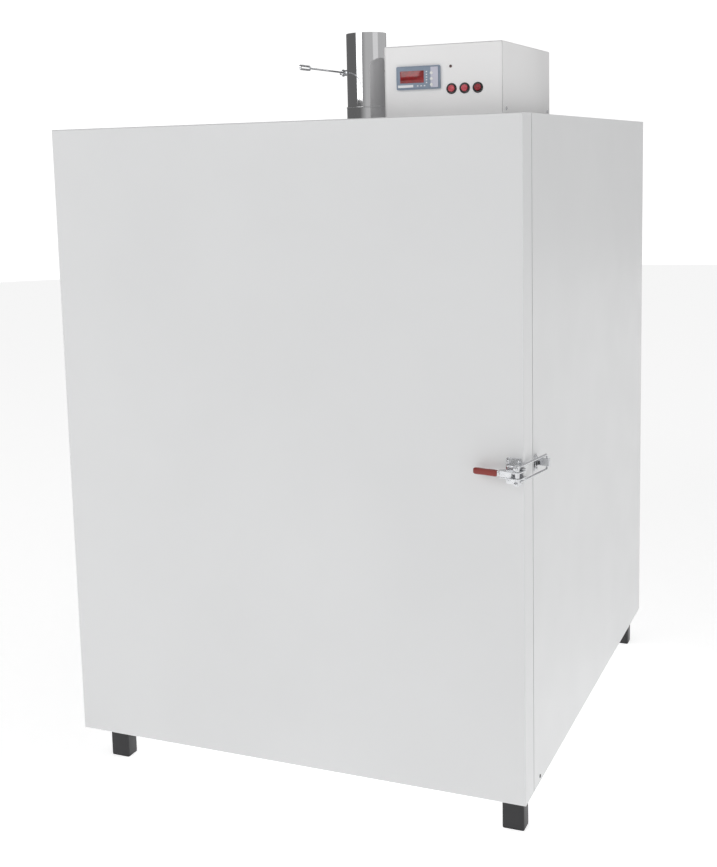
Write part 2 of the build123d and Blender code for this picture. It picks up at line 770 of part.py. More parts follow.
def switch_housing(x):
    """Round housing with a bezel and the pocket in which its rocker tilts."""
    z = Z_TOP + SWITCH_Z
    front = BOX_Y - BEZEL_T
    bezel = rod_y(x, (front, BOX_Y), z, BEZEL_R)
    bezel = chamfer(bezel.faces().sort_by(Axis.Y)[0].edges(), BEZEL_T * 0.4)
    body = rod_y(x, (BOX_Y, BOX_Y + SWITCH_DEPTH), z, SWITCH_R)
    pocket = rod_y(x, (front - 1, BOX_Y + ROCKER_PIVOT + ROCKER_POCKET_R), z, ROCKER_POCKET_R)
    reach = SWITCH_R - ROCKER_PIN_END
    pivot = rod_x((x - reach, x + reach), BOX_Y + ROCKER_PIVOT, z, ROCKER_PIN_R + RUN_FIT)
    return bezel + body - pocket - pivot


def rocker(x):
    """Round rocker on two stub pins. Its face slopes both ways, and its upper half is in at rest."""
    far = 2 * ROCKER_R
    button = rod_y(0, (-far, ROCKER_REAR), 0, ROCKER_R)
    for way in (-1, 1):
        button -= Rot(way * ROCKER_TILT, 0, 0) * block((-far, far), (-2 * far, -ROCKER_CUT), (-far, far))
    reach = SWITCH_R - ROCKER_PIN_END - SLIDE_GAP
    button += rod_x((-reach, reach), 0, 0, ROCKER_PIN_R)
    return Pos(x, BOX_Y + ROCKER_PIVOT, Z_TOP + SWITCH_Z) * Rot(-ROCKER_TILT, 0, 0) * button


def terminal_block():
    """Row of terminals on the base, with a barrier between neighbours."""
    x0 = BOX_X + RELAY_GAP
    z0 = Z_TOP + BOX_SKIN
    y = (RAIL_Y, RAIL_Y + TERMINAL_D)
    top = z0 + TERMINAL_H - TERMINAL_STEP
    row = block((x0, x0 + TERMINAL_W), y, (z0, top))
    pitch = (TERMINAL_W - BARRIER_T) / TERMINAL_POLES
    half = TERMINAL_POCKET / 2
    middle = RAIL_Y + TERMINAL_D / 2
    for i in range(TERMINAL_POLES + 1):
        x = x0 + i * pitch
        row += block((x, x + BARRIER_T), y, (z0, z0 + TERMINAL_H))
    for i in range(TERMINAL_POLES):
        x = x0 + BARRIER_T / 2 + (i + 0.5) * pitch
        row -= block((x - half, x + half), (middle - half, middle + half), (top - TERMINAL_POCKET_H, top + 1))
    return row


def heater_relay():
    """Relay block with cooling fins on its top."""
    x0 = BOX_X + 2 * RELAY_GAP + TERMINAL_W
    z0 = Z_TOP + BOX_SKIN
    y = (RAIL_Y - RELAY_D / 2, RAIL_Y + RELAY_D / 2)
    relay = block((x0, x0 + RELAY_W), y, (z0, z0 + RELAY_H - RELAY_FIN_H))
    for i in range(RELAY_FINS):
        x = x0 + i * (RELAY_W - RELAY_FIN_T) / (RELAY_FINS - 1)
        relay += block((x, x + RELAY_FIN_T), y, (z0, z0 + RELAY_H))
    return relay


def cable_gland():
    """Gland for the supply cable in the rear plate, with its hexagon and a way through."""
    x, z = BOX_X + GLAND_X, Z_TOP + GLAND_Z
    span = (BOX_REAR - BOX_SKIN - GLAND_TAIL, BOX_REAR + GLAND_DOME)
    hexagon = extrude(RegularPolygon(GLAND_HEX / 2, 6, major_radius=False), GLAND_NUT_T)
    gland = rod_y(x, span, z, GLAND_R) + Pos(x, BOX_REAR, z) * Rot(-90, 0, 0) * hexagon
    return gland - rod_y(x, (span[0] - 1, span[1] + 1), z, GLAND_MOUTH_R)


# Chamber fittings

def rack_rows():
    """Front and rear places of the shelf uprights along Y."""
    return RUNNER_Y[0] + RACK_FRONT, RUNNER_Y[1] - RACK_REAR


def slot_heights():
    return [CHAMBER_Z0 + RACK_MARGIN + SLOT_FIRST + i * SLOT_PITCH for i in range(SLOT_COUNT)]


def shelf_upright(y):
    """Slotted channel on the right wall of the chamber."""
    half = RACK_W / 2
    z = (CHAMBER_Z0 + RACK_MARGIN, CHAMBER_Z1 - RACK_MARGIN)
    channel = block((RACK_X, CHAMBER_X), (y - half, y + half), z)
    channel -= block((RACK_X + RACK_SHEET, CHAMBER_X + 1), (y - half + RACK_SHEET, y + half - RACK_SHEET),
                     (z[0] - 1, z[1] + 1))
    for height in slot_heights():
        channel -= block((RACK_X - 1, RACK_X + RACK_SHEET + 1), (y - SLOT_W / 2, y + SLOT_W / 2),
                         (height - SLOT_H / 2, height + SLOT_H / 2))
    return channel


def shelf_runner(height):
    """Angle that hooks into the uprights and carries a shelf."""
    z = (height - RUNNER_H / 2, height + RUNNER_H / 2)
    angle = block((RACK_X - RUNNER_T, RACK_X), RUNNER_Y, z)
    angle += block((RACK_X - RUNNER_W, RACK_X), RUNNER_Y, (z[0], z[0] + RUNNER_T))
    reach = RACK_X + RACK_SHEET + TAB_REACH
    half = SLOT_W / 2 - TAB_GAP
    for row in rack_rows():
        angle += block((RACK_X, reach), (row - half, row + half),
                       (height - SLOT_H / 2, height + SLOT_H / 2 - TAB_GAP))
    return angle


def slotted_shelf(slot):
    """Sheet shelf with rows of long air slots and rims folded down all round."""
    top = slot_heights()[slot] - RUNNER_H / 2 + RUNNER_T + SHELF_RIM
    x = RACK_X - RUNNER_T - SHELF_GAP
    y = (RUNNER_Y[0], RUNNER_Y[1] - SHELF_END)
    shelf = block((-x, x), y, (top - SHELF_RIM, top))
    shelf = fillet(shelf.edges().filter_by(Axis.Z), SHELF_CORNER_R)
    inner = block((-x + SHELF_T, x - SHELF_T), (y[0] + SHELF_T, y[1] - SHELF_T),
                  (top - SHELF_RIM - 1, top - SHELF_T))
    shelf -= fillet(inner.edges().filter_by(Axis.Z), SHELF_CORNER_R - SHELF_T)
    pitch_x = (2 * x - 2 * SHELF_MARGIN) / SHELF_COLUMNS
    pitch_y = (y[1] - y[0] - 2 * SHELF_MARGIN) / SHELF_ROWS
    for column in range(SHELF_COLUMNS):
        slot_x = -x + SHELF_MARGIN + (column + 0.5) * pitch_x
        span = (slot_x - pitch_x / 2 + SHELF_BRIDGE / 2, slot_x + pitch_x / 2 - SHELF_BRIDGE / 2)
        for row in range(SHELF_ROWS):
            slot_y = y[0] + SHELF_MARGIN + (row + 0.5) * pitch_y
            half = SHELF_SLOT_W / 2
            shelf -= block(span, (slot_y - half, slot_y + half), (top - SHELF_T - 1, top + 1))
    return shelf


def air_baffle():
    """Air guide in front of the fan, folded back to the rear wall, with a barred intake."""
    y = (CHAMBER_BACK - BAFFLE_GAP, CHAMBER_BACK)
    x = (-CHAMBER_X + BAFFLE_SIDE, CHAMBER_X - BAFFLE_SIDE)
    z = (CHAMBER_Z0 + BAFFLE_SIDE, CHAMBER_Z1 - BAFFLE_SIDE)
    guide = block(x, y, z)
    guide -= block((x[0] - 1, x[1] + 1), (y[0] + BAFFLE_T, y[1] + 1), (z[0] + BAFFLE_T, z[1] - BAFFLE_T))
    through = (y[0] - 1, y[0] + BAFFLE_T + 1)
    slot = (2 * INTAKE_R - (GRILLE_BARS - 1) * GRILLE_BAR) / GRILLE_BARS
    intake = rod_y(0, through, FAN_Z, INTAKE_R)
    for i in range(GRILLE_BARS - 1):
        z_bar = FAN_Z - INTAKE_R + (i + 1) * slot + i * GRILLE_BAR
        intake -= block((-2 * INTAKE_R, 2 * INTAKE_R), through, (z_bar, z_bar + GRILLE_BAR))
    return guide - intake


def heater():
    """Tubular heater bent to a wide U round the fan, with its tails through the rear wall."""
    plane_y = CHAMBER_BACK - HEATER_STANDOFF
    tail_y = BULKHEAD_Y + SKIN + HEATER_TAIL
    top = heater_top()
    low = top - HEATER_L
    path = FilletPolyline(
        (-HEATER_X, tail_y, top),
        (-HEATER_X, plane_y, top),
        (-HEATER_X, plane_y, low),
        (HEATER_X, plane_y, low),
        (HEATER_X, plane_y, top),
        (HEATER_X, tail_y, top),
        radius=HEATER_BEND,
    )
    return sweep(Plane(origin=path @ 0, z_dir=path % 0) * Circle(HEATER_R), path=path)


def temperature_probe():
    """Sheathed probe through the roof into the chamber, held by a nut in the control box."""
    x, y = PROBE_SPOT
    base = Z_TOP + BOX_SKIN
    rod = rod_z(x, y, (CHAMBER_Z1 - PROBE_REACH, base + PROBE_TAIL), PROBE_R)
    nut = Pos(x, y, base) * extrude(RegularPolygon(PROBE_NUT / 2, 6, major_radius=False), PROBE_NUT_T)
    return rod + nut


# Circulation fan

def fan_rear_y():
    return CHAMBER_BACK - FAN_REAR_GAP


def fan_impeller():
    """Radial impeller: rear disc with hub, blades that lean back, and an inlet ring."""
    rear = fan_rear_y()
    front = rear - FAN_DEPTH
    wheel = rod_y(0, (rear - FAN_SHEET, rear), FAN_Z, FAN_R)
    ring = rod_y(0, (front, front + FAN_SHEET), FAN_Z, FAN_R)
    wheel += ring - rod_y(0, (front - 1, front + FAN_SHEET + 1), FAN_Z, FAN_INLET_R)
    wheel += rod_y(0, (rear - FAN_SHEET - FAN_HUB_L, rear - FAN_SHEET), FAN_Z, FAN_HUB_R)
    length = FAN_R - FAN_INLET_R - 2 * FAN_SHEET
    blade = block((FAN_INLET_R, FAN_INLET_R + length), (front, rear), (-FAN_SHEET / 2, FAN_SHEET / 2))
    lean = Pos(FAN_INLET_R, 0, 0) * Rot(0, BLADE_LEAN, 0) * Pos(-FAN_INLET_R, 0, 0) * blade
    for i in range(FAN_BLADES):
        wheel += Pos(0, 0, FAN_Z) * Rot(0, i * 360 / FAN_BLADES, 0) * lean
    bore = (front - 1, rear + 1)
    return wheel - rod_y(0, bore, FAN_Z, FAN_SHAFT_R + RUN_FIT)


def motor_front_y():
    return BULKHEAD_Y + SKIN + PAD_T


def fan_shaft():
    nose = fan_rear_y() - FAN_SHEET - FAN_HUB_L - SHAFT_NOSE
    return rod_y(0, (nose, motor_front_y() + SHAFT_IN_MOTOR), FAN_Z, FAN_SHAFT_R)


def fan_motor():
    """Ribbed motor on the bulkhead's pad, with a blind bore for its shaft."""
    y0 = motor_front_y()
    y1 = y0 + MOTOR_FLANGE_T
    motor = rod_y(0, (y0, y1), FAN_Z, MOTOR_FLANGE_R)
    motor += rod_y(0, (y1, y1 + MOTOR_L), FAN_Z, MOTOR_R - MOTOR_RIB)
    rib = block((MOTOR_R - 2 * MOTOR_RIB, MOTOR_R), (y1, y1 + MOTOR_L), (-MOTOR_RIB / 2, MOTOR_RIB / 2))
    for i in range(MOTOR_RIBS):
        motor += Pos(0, 0, FAN_Z) * Rot(0, i * 360 / MOTOR_RIBS, 0) * rib
    bore = (y0 - 1, y0 + SHAFT_IN_MOTOR + MOTOR_BORE_END)
    return motor - rod_y(0, bore, FAN_Z, FAN_SHAFT_R + RUN_FIT)


# Toggle latch

def latch_place(piece, w=0.0):
    """Move a piece from the latch's own frame to the door. W is a height from its middle."""
    return Pos(HALF_W, DOOR_FRONT, LATCH_Z + w) * piece


def outline(*circles):
    """Tight outline round circles, each given as u, v and radius."""
    edges = [edge for u, v, r in circles for edge in (Pos(u, v) * Circle(r)).edges()]
    return make_hull(edges)


def plates(sketch, inner, thickness):
    """Two equal plates above and below the latch's middle."""
    return [latch_place(extrude(sketch, thickness), inner),
            latch_place(extrude(sketch, thickness), -inner - thickness)]


def latch_base():
    """Base plate with two ears that reach past the door's edge to the handle's pivot."""
    plate = block((-BASE_EDGE - BASE_W, -BASE_EDGE), (-BASE_T, 0), (-BASE_H / 2, BASE_H / 2))
    plate = fillet(plate.edges().filter_by(Axis.Y), BASE_CORNER)
    base = latch_place(plate)
    root = BASE_T / 2
    ear = outline((-BASE_EDGE - BASE_W + root, -root, root), (-BASE_EDGE - root, -root, root),
                  (PIVOT_U, PIVOT_V, EAR_R))
    for piece in plates(ear, EAR_IN, EAR_T):
        base += piece
    bore = rod_z(PIVOT_U, PIVOT_V, (-BASE_H, BASE_H), PIVOT_R + RUN_FIT)
    return base - latch_place(bore)


def latch_pivot_pin():
    reach = EAR_IN + EAR_T
    pin = rod_z(PIVOT_U, PIVOT_V, (-reach, reach), PIVOT_R)
    for way in (-1, 1):
        span = sorted((way * reach, way * (reach + PIVOT_HEAD_T)))
        pin += rod_z(PIVOT_U, PIVOT_V, span, PIVOT_HEAD_R)
    return latch_place(pin)


def handle_point(distance):
    """Point on the handle's middle line, at a distance from the trunnion."""
    lean = math.radians(HANDLE_LEAN)
    return TRUNNION_U - distance * math.cos(lean), TRUNNION_V + distance * math.sin(lean)


def handle_bar(start, end, thickness, height):
    """Straight bar along the handle's middle line."""
    bar = block((-end, -start), (-thickness / 2, thickness / 2), (-height / 2, height / 2))
    return Pos(TRUNNION_U, TRUNNION_V, 0) * Rot(0, 0, -HANDLE_LEAN) * bar


def latch_handle():
    """Two cheeks on the pivot and the trunnion, a neck that joins them, and the stem."""
    start = (*handle_point(NECK_START), NECK_R)
    end = (*handle_point(NECK_END), NECK_R)
    cheek = outline((PIVOT_U, PIVOT_V, EAR_R), (TRUNNION_U, TRUNNION_V, CHEEK_R), end)
    upper, lower = plates(cheek, CHEEK_IN, CHEEK_T)
    neck = latch_place(extrude(outline(start, end), 2 * CHEEK_IN), -CHEEK_IN)
    handle = upper + lower + neck
    handle += latch_place(handle_bar(NECK_END, HANDLE_L - GRIP_COVER, STEM_T, STEM_W))
    handle -= latch_place(rod_z(PIVOT_U, PIVOT_V, (-BASE_H, BASE_H), PIVOT_R + RUN_FIT))
    return handle - latch_place(rod_z(TRUNNION_U, TRUNNION_V, (-BASE_H, BASE_H), TRUNNION_R + RUN_FIT))


def latch_grip():
    """Dipped plastic grip on the end of the handle."""
    grip = handle_bar(HANDLE_L - GRIP_L, HANDLE_L, GRIP_T, GRIP_H)
    along = grip.edges().filter_by(lambda edge: edge.length > GRIP_L - 1)
    grip = fillet(along, GRIP_EDGE_R)
    tip = grip.faces().sort_by(Axis.X)[0]
    grip = chamfer(tip.edges(), GRIP_TIP)
    stem = handle_bar(NECK_END, HANDLE_L - GRIP_COVER, STEM_T, STEM_W)
    return latch_place(grip - stem)


def bail_direction():
    """Unit vector from the trunnion to the closed end of the bail."""
    du, dv = BAIL_U - TRUNNION_U, BAIL_V - TRUNNION_V
    length = math.hypot(du, dv)
    return du / length, dv / length


def bail_point(distance):
    fu, fv = bail_direction()
    return TRUNNION_U + distance * fu, TRUNNION_V + distance * fv


def latch_bail():
    """U-shaped rod through the trunnion, round the door's corner and behind the catch."""
    u, v = bail_point(-BAIL_THREAD)
    path = FilletPolyline((u, v, BAIL_HALF), (BAIL_U, BAIL_V, BAIL_HALF),
                          (BAIL_U, BAIL_V, -BAIL_HALF), (u, v, -BAIL_HALF), radius=BAIL_BEND)
    return latch_place(sweep(Plane(origin=path @ 0, z_dir=path % 0) * Circle(BAIL_R), path=path))


def along_bail(distance, length, sketch, w):
    """Extrude a sketch along one rod of the bail, from a distance to the trunnion."""
    u, v = bail_point(distance)
    fu, fv = bail_direction()
    plane = Plane(origin=(u, v, w), x_dir=(0, 0, 1), z_dir=(fu, fv, 0))
    return latch_place(extrude(plane * sketch, length))


def bail_trunnion():
    """Cross bar in the handle's cheeks, drilled for both rods of the bail."""
    bar = latch_place(rod_z(TRUNNION_U, TRUNNION_V, (-TRUNNION_L / 2, TRUNNION_L / 2), TRUNNION_R))
    for w in (-BAIL_HALF, BAIL_HALF):
        bar -= along_bail(-2 * TRUNNION_R, 4 * TRUNNION_R, Circle(BAIL_R + RUN_FIT), w)
    return bar


def bail_nuts():
    """A nut on each side of the trunnion, on both rods."""
    ring = RegularPolygon(NUT_FLATS / 2, 6, major_radius=False) - Circle(BAIL_R + RUN_FIT)
    nuts = []
    for w in (-BAIL_HALF, BAIL_HALF):
        nuts.append(along_bail(TRUNNION_R, NUT_T, ring, w))
        nuts.append(along_bail(-TRUNNION_R - NUT_T, NUT_T, ring, w))
    return nuts


def catch_profile():
    """Strip that lies on the wall, rises square to the bail's pull and ends in a small lip."""
    fu, fv = bail_direction()
    back = BAIL_R + CATCH_GAP + CATCH_T / 2
    seat_u, seat_v = BAIL_U - back * fu, BAIL_V - back * fv
    wall_u = CATCH_T / 2
    root_v = seat_v + (seat_u - wall_u) / fv * fu
    tip_u, tip_v = seat_u + CATCH_TIP * fv, seat_v - CATCH_TIP * fu
    lip_u, lip_v = tip_u + CATCH_LIP * fu, tip_v + CATCH_LIP * fv
    line = FilletPolyline((wall_u, root_v - CATCH_FOOT), (wall_u, root_v), (tip_u, tip_v),
                          (lip_u, lip_v), radius=CATCH_T / 2 + 0.1)
    start = Plane(origin=line @ 0, x_dir=(1, 0, 0), z_dir=line % 0)
    strip = sweep(start * Rectangle(CATCH_T, CATCH_W), path=line)
    return strip, root_v


def latch_catch():
    """Keeper on the front frame's side, with a wide foot and a curled tongue."""
    tongue, root_v = catch_profile()
    foot = block((0, CATCH_T), (root_v - CATCH_FOOT, root_v - CATCH_T), (-CATCH_FOOT_H / 2, CATCH_FOOT_H / 2))
    return latch_place(tongue + foot)


def build_body():
    frame = front_frame()
    panel = side_panel()
    right, left = both_sides(panel)
    save("front_frame", frame)
    save("right_side_panel", right)
    save("left_side_panel", left)
    save("top_panel", top_panel())
    save("bottom_panel", level_panel((Z_BOTTOM, Z_BOTTOM + SKIN)))
    save("rear_panel", rear_panel())
    save("rear_service_cover", service_cover())
    save("rear_bulkhead", rear_bulkhead())
    save("chamber_liner", chamber_liner())
    save("wall_insulation", *wall_insulation(frame, panel))
    save("legs", *legs())
    save("plastic_plugs", *leg_caps(), side_plug())


def build_door():
    save("door_skin", door_skin())
    save("door_inner_panel", door_inner_panel())
    save("door_insulation", door_insulation())
    save("door_gasket", door_gasket())
    frame_leaves, door_leaves, pins = hinges()
    save("hinge_frame_leaves", *frame_leaves)
    save("hinge_door_leaves", *door_leaves)
    save("hinge_pins", *pins)


def build_exhaust():
    plate = damper_plate()
    save("exhaust_collar", exhaust_collar())
    save("exhaust_tube", exhaust_tube())
    save("damper_plate", plate)
    save("damper_shaft", damper_shaft(plate))
    save("damper_lever", damper_hub() + damper_lever())


def build_control_box():
    save("control_box_chassis", box_chassis())
    save("control_box_cover", box_cover())
    save("controller_case", meter_case())
    save("controller_window", meter_window(0))
    for i, row in enumerate(KEY_ROWS, start=1):
        save(f"controller_key_{i}", meter_key(row))
    save("pilot_lamp", pilot_lamp())
    save("switch_housings", *[switch_housing(x) for x in switch_places()])
    for i, x in enumerate(switch_places(), start=1):
        save(f"switch_rocker_{i}", rocker(x))
    save("terminal_block", terminal_block())
    save("heater_relay", heater_relay())
    save("cable_gland", cable_gland())


def build_chamber():
    uprights = [piece for y in rack_rows() for piece in both_sides(shelf_upright(y))]
    save("shelf_uprights", *uprights)
    runners = [piece for slot in SHELF_SLOTS
               for piece in both_sides(shelf_runner(slot_heights()[slot]))]
    save("shelf_runners", *runners)
    for name, slot in zip(("lower", "middle", "upper"), SHELF_SLOTS):
        save(f"shelf_{name}", slotted_shelf(slot))
    save("air_baffle", air_baffle())
    save("heater_elements", heater())
    save("temperature_probe", temperature_probe())
    save("fan_impeller", fan_impeller())
    save("fan_shaft", fan_shaft())
    save("fan_motor", fan_motor())


def build_latch():
    save("latch_base", latch_base())
    save("latch_pivot_pin", latch_pivot_pin())
    save("latch_handle", latch_handle())
    save("latch_grip", latch_grip())
    save("latch_bail", latch_bail())
    save("bail_trunnion", bail_trunnion())
    save("bail_nuts", *bail_nuts())
    save("latch_catch", latch_catch())


build_body()
build_door()
build_exhaust()
build_control_box()
build_chamber()
build_latch()
write_nodes()
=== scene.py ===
import logging
import math
from collections.abc import Callable, Iterable, Sequence
from dataclasses import dataclass
from enum import Enum

import bmesh
import bpy
from mathutils import Matrix, Vector
from mathutils.geometry import convex_hull_2d


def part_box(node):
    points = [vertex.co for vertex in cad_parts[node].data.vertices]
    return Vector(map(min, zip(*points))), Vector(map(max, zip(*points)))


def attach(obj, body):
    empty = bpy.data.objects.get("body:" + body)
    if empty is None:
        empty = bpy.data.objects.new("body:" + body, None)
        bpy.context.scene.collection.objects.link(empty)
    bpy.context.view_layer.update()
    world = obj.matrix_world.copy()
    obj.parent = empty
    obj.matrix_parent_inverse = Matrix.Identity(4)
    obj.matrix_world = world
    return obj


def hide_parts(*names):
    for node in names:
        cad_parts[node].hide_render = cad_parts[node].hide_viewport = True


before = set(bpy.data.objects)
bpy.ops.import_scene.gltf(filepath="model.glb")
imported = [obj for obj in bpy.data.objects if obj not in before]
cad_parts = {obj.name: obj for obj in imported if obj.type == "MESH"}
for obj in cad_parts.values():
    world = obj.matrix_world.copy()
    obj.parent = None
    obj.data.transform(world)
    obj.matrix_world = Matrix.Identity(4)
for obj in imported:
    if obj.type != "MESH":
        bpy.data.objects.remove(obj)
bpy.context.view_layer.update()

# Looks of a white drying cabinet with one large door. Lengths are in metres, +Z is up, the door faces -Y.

LOG = logging.getLogger("drying_cabinet")
MM = 0.001
SMOOTH_LIMIT = math.radians(38)
AXIS_RADIUS = 0.01 * MM

Colour = tuple[float, float, float, float]
Flat = tuple[float, float]

DUST_COLOUR: Colour = (0.5, 0.48, 0.45, 1.0)


# Node layout

class Net:
    """Short calls that lay out the nodes of one tree."""

    def __init__(self, tree: bpy.types.NodeTree) -> None:
        """Keep the tree.

        Args:
            tree: The tree that gets the nodes.
        """
        self.tree = tree

    def add(self, kind: str, feeds: dict | None = None, **settings: object) -> bpy.types.Node:
        """Add a node.

        Args:
            kind: Blender's name for the node type.
            feeds: Values or sockets for its inputs, by name or index.
            settings: Properties of the node itself.

        Returns:
            The new node.
        """
        node = self.tree.nodes.new(kind)
        for key, value in settings.items():
            setattr(node, key, value)
        for key, value in (feeds or {}).items():
            self.feed(node.inputs[key], value)
        return node

    def feed(self, socket: bpy.types.NodeSocket, value: object) -> None:
        """Link a socket to another one, or give it a fixed value.

        Args:
            socket: The input.
            value: A socket to link, or the value.
        """
        if isinstance(value, bpy.types.NodeSocket):
            self.tree.links.new(value, socket)
        else:
            socket.default_value = value

    def group(self, effect: type["Effect"], **feeds: object) -> bpy.types.Node:
        """Place a shared effect.

        Args:
            effect: The effect.
            feeds: Its inputs, by name.

        Returns:
            The group node.
        """
        node = self.add("ShaderNodeGroup", node_tree=effect.tree())
        for key, value in feeds.items():
            self.feed(node.inputs[key], value)
        return node

    def blend(self, factor: object, first: object, second: object) -> bpy.types.NodeSocket:
        """Mix two colours.

        Args:
            factor: Share of the second colour.
            first: The colour at 0.
            second: The colour at 1.

        Returns:
            The mixed colour's socket.
        """
        return self.add("ShaderNodeMix", {0: factor, 6: first, 7: second}, data_type="RGBA").outputs[2]

    def math(self, operation: str, first: object, second: object = 0.0) -> bpy.types.NodeSocket:
        """Work on one or two values.

        Args:
            operation: Name of the operation.
            first: The first value.
            second: The second value.

        Returns:
            The result's socket.
        """
        return self.add("ShaderNodeMath", {0: first, 1: second}, operation=operation).outputs[0]

    def spread(self, value: object, low: object, high: object, start: float = 0.35,
               end: float = 0.65) -> bpy.types.NodeSocket:
        """Map a value from one range to another and keep it inside.

        Args:
            value: The value.
            low: Result at the start of the range.
            high: Result at its end.
            start: Where the range starts.
            end: Where it ends.

        Returns:
            The result's socket.
        """
        feeds = {0: value, 1: start, 2: end, 3: low, 4: high}
        return self.add("ShaderNodeMapRange", feeds, clamp=True).outputs[0]

    def bump(self, height: object, distance: float, strength: float = 1.0) -> bpy.types.NodeSocket:
        """Turn a height into a normal.

        Args:
            height: The height's socket.
            distance: How far full height stands out.
            strength: Share of the effect.

        Returns:
            The normal's socket.
        """
        feeds = {"Height": height, "Distance": distance, "Strength": strength}
        return self.add("ShaderNodeBump", feeds).outputs["Normal"]

    def patches(self, scale: float, low: float = 0.0, high: float = 1.0) -> bpy.types.NodeSocket:
        """Vary a value softly over the piece.

        Args:
            scale: How fine the patches are.
            low: The lowest value.
            high: The highest value.

        Returns:
            The value's socket.
        """
        return self.group(SoftPatches, Scale=scale, Low=low, High=high).outputs["Value"]


def place_on_object(net: Net) -> bpy.types.NodeSocket:
    """Coordinates that stay with the piece."""
    return net.add("ShaderNodeTexCoord").outputs["Object"]


class Effect:
    """A shared effect of the finishes, kept as a node group that is made once.

    Each input has its default value, and a sequence makes a vector socket.
    """

    name = ""
    inputs: dict[str, object] = {}
    outputs: tuple[str, ...] = ()

    @classmethod
    def tree(cls) -> bpy.types.NodeTree:
        """The effect's node group, made on first use."""
        return bpy.data.node_groups.get(cls.name) or cls.make()

    @classmethod
    def make(cls) -> bpy.types.NodeTree:
        """Make the node group.

        Returns:
            The new group.
        """
        tree = bpy.data.node_groups.new(cls.name, "ShaderNodeTree")
        for key, value in cls.inputs.items():
            kind = "NodeSocketVector" if isinstance(value, (tuple, list)) else "NodeSocketFloat"
            tree.interface.new_socket(key, in_out="INPUT", socket_type=kind).default_value = value
        for key in cls.outputs:
            tree.interface.new_socket(key, in_out="OUTPUT", socket_type="NodeSocketFloat")
        net = Net(tree)
        entry = net.add("NodeGroupInput")
        result = cls.lay_out(net, {key: entry.outputs[key] for key in cls.inputs})
        net.add("NodeGroupOutput", result)
        return tree

    @staticmethod
    def lay_out(net: Net, given: dict) -> dict:
        """Fill the group.

        Args:
            net: The group's nodes.
            given: The socket of each input, by name.

        Returns:
            A socket for each output, by name.
        """
        raise NotImplementedError


class SoftPatches(Effect):
    """Soft uneven patches between two values."""

    name = "soft_patches"
    inputs = {"Scale": 3.0, "Low": 0.0, "High": 1.0}
    outputs = ("Value",)

    @staticmethod
    def lay_out(net: Net, given: dict) -> dict:
        """Fill the group.

        Args:
            net: The group's nodes.
            given: The socket of each input, by name.

        Returns:
            A socket for the value.
        """
        feeds = {"Vector": place_on_object(net), "Scale": given["Scale"], "Detail": 3.0}
        noise = net.add("ShaderNodeTexNoise", feeds).outputs[0]
        return {"Value": net.spread(noise, given["Low"], given["High"])}


class BakedRelief(Effect):
    """Fine pebbled height of a baked coat, with the slow waves of thin sheet."""

    name = "baked_coat_relief"
    inputs = {"Scale": 700.0, "Wave Scale": 2.2, "Wave Height": 12.0}
    outputs = ("Height",)

    @staticmethod
    def lay_out(net: Net, given: dict) -> dict:
        """Fill the group.

        Args:
            net: The group's nodes.
            given: The socket of each input, by name.

        Returns:
            A socket for the height.
        """
        place = place_on_object(net)
        fine = net.add("ShaderNodeTexNoise", {"Vector": place, "Scale": given["Scale"], "Detail": 1.0})
        slow = net.add("ShaderNodeTexNoise", {"Vector": place, "Scale": given["Wave Scale"], "Detail": 0.0})
        waves = net.math("MULTIPLY", slow.outputs[0], given["Wave Height"])
        return {"Height": net.math("ADD", fine.outputs[0], waves)}


class MetalGrain(Effect):
    """Long fine lines of brushed or drawn metal."""

    name = "metal_grain"
    inputs = {"Stretch": (6.0, 900.0, 900.0), "Low": 0.2, "High": 0.4}
    outputs = ("Height", "Value")

    @staticmethod
    def lay_out(net: Net, given: dict) -> dict:
        """Fill the group.

        Args:
            net: The group's nodes.
            given: The socket of each input, by name.

        Returns:
            Sockets for the height and for the value.
        """
        mapping = net.add("ShaderNodeMapping", {"Vector": place_on_object(net), "Scale": given["Stretch"]})
        feeds = {"Vector": mapping.outputs[0], "Scale": 1.0, "Detail": 5.0, "Roughness": 0.7}
        noise = net.add("ShaderNodeTexNoise", feeds).outputs[0]
        return {"Height": noise, "Value": net.spread(noise, given["Low"], given["High"])}


class SettledDust(Effect):
    """Thin uneven dust on what faces up."""

    name = "settled_dust"
    inputs = {"Scale": 14.0, "Amount": 0.1}
    outputs = ("Mask",)

    @staticmethod
    def lay_out(net: Net, given: dict) -> dict:
        """Fill the group.

        Args:
            net: The group's nodes.
            given: The socket of each input, by name.

        Returns:
            A socket for the mask.
        """
        normal = net.add("ShaderNodeNewGeometry").outputs["Normal"]
        up = net.add("ShaderNodeSeparateXYZ", {0: normal}).outputs["Z"]
        level = net.spread(up, 0.0, 1.0, 0.4, 0.95)
        feeds = {"Vector": place_on_object(net), "Scale": given["Scale"], "Detail": 6.0, "Roughness": 0.65}
        noise = net.add("ShaderNodeTexNoise", feeds).outputs[0]
        patches = net.math("MULTIPLY", net.spread(noise, 0.3, 1.0), level)
        return {"Mask": net.math("MULTIPLY", patches, given["Amount"])}


class RubFlecks(Effect):
    """Sparse small flecks, as of rub marks or stains."""

    name = "rub_flecks"
    inputs = {"Scale": 60.0, "Amount": 0.3}
    outputs = ("Mask",)

    @staticmethod
    def lay_out(net: Net, given: dict) -> dict:
        """Fill the group.

        Args:
            net: The group's nodes.
            given: The socket of each input, by name.

        Returns:
            A socket for the mask.
        """
        feeds = {"Vector": place_on_object(net), "Scale": given["Scale"], "Detail": 4.0, "Roughness": 0.8}
        noise = net.add("ShaderNodeTexNoise", feeds).outputs[0]
        mask = net.spread(noise, 0.0, 1.0, 0.62, 0.7)
        return {"Mask": net.math("MULTIPLY", mask, given["Amount"])}


# Finishes

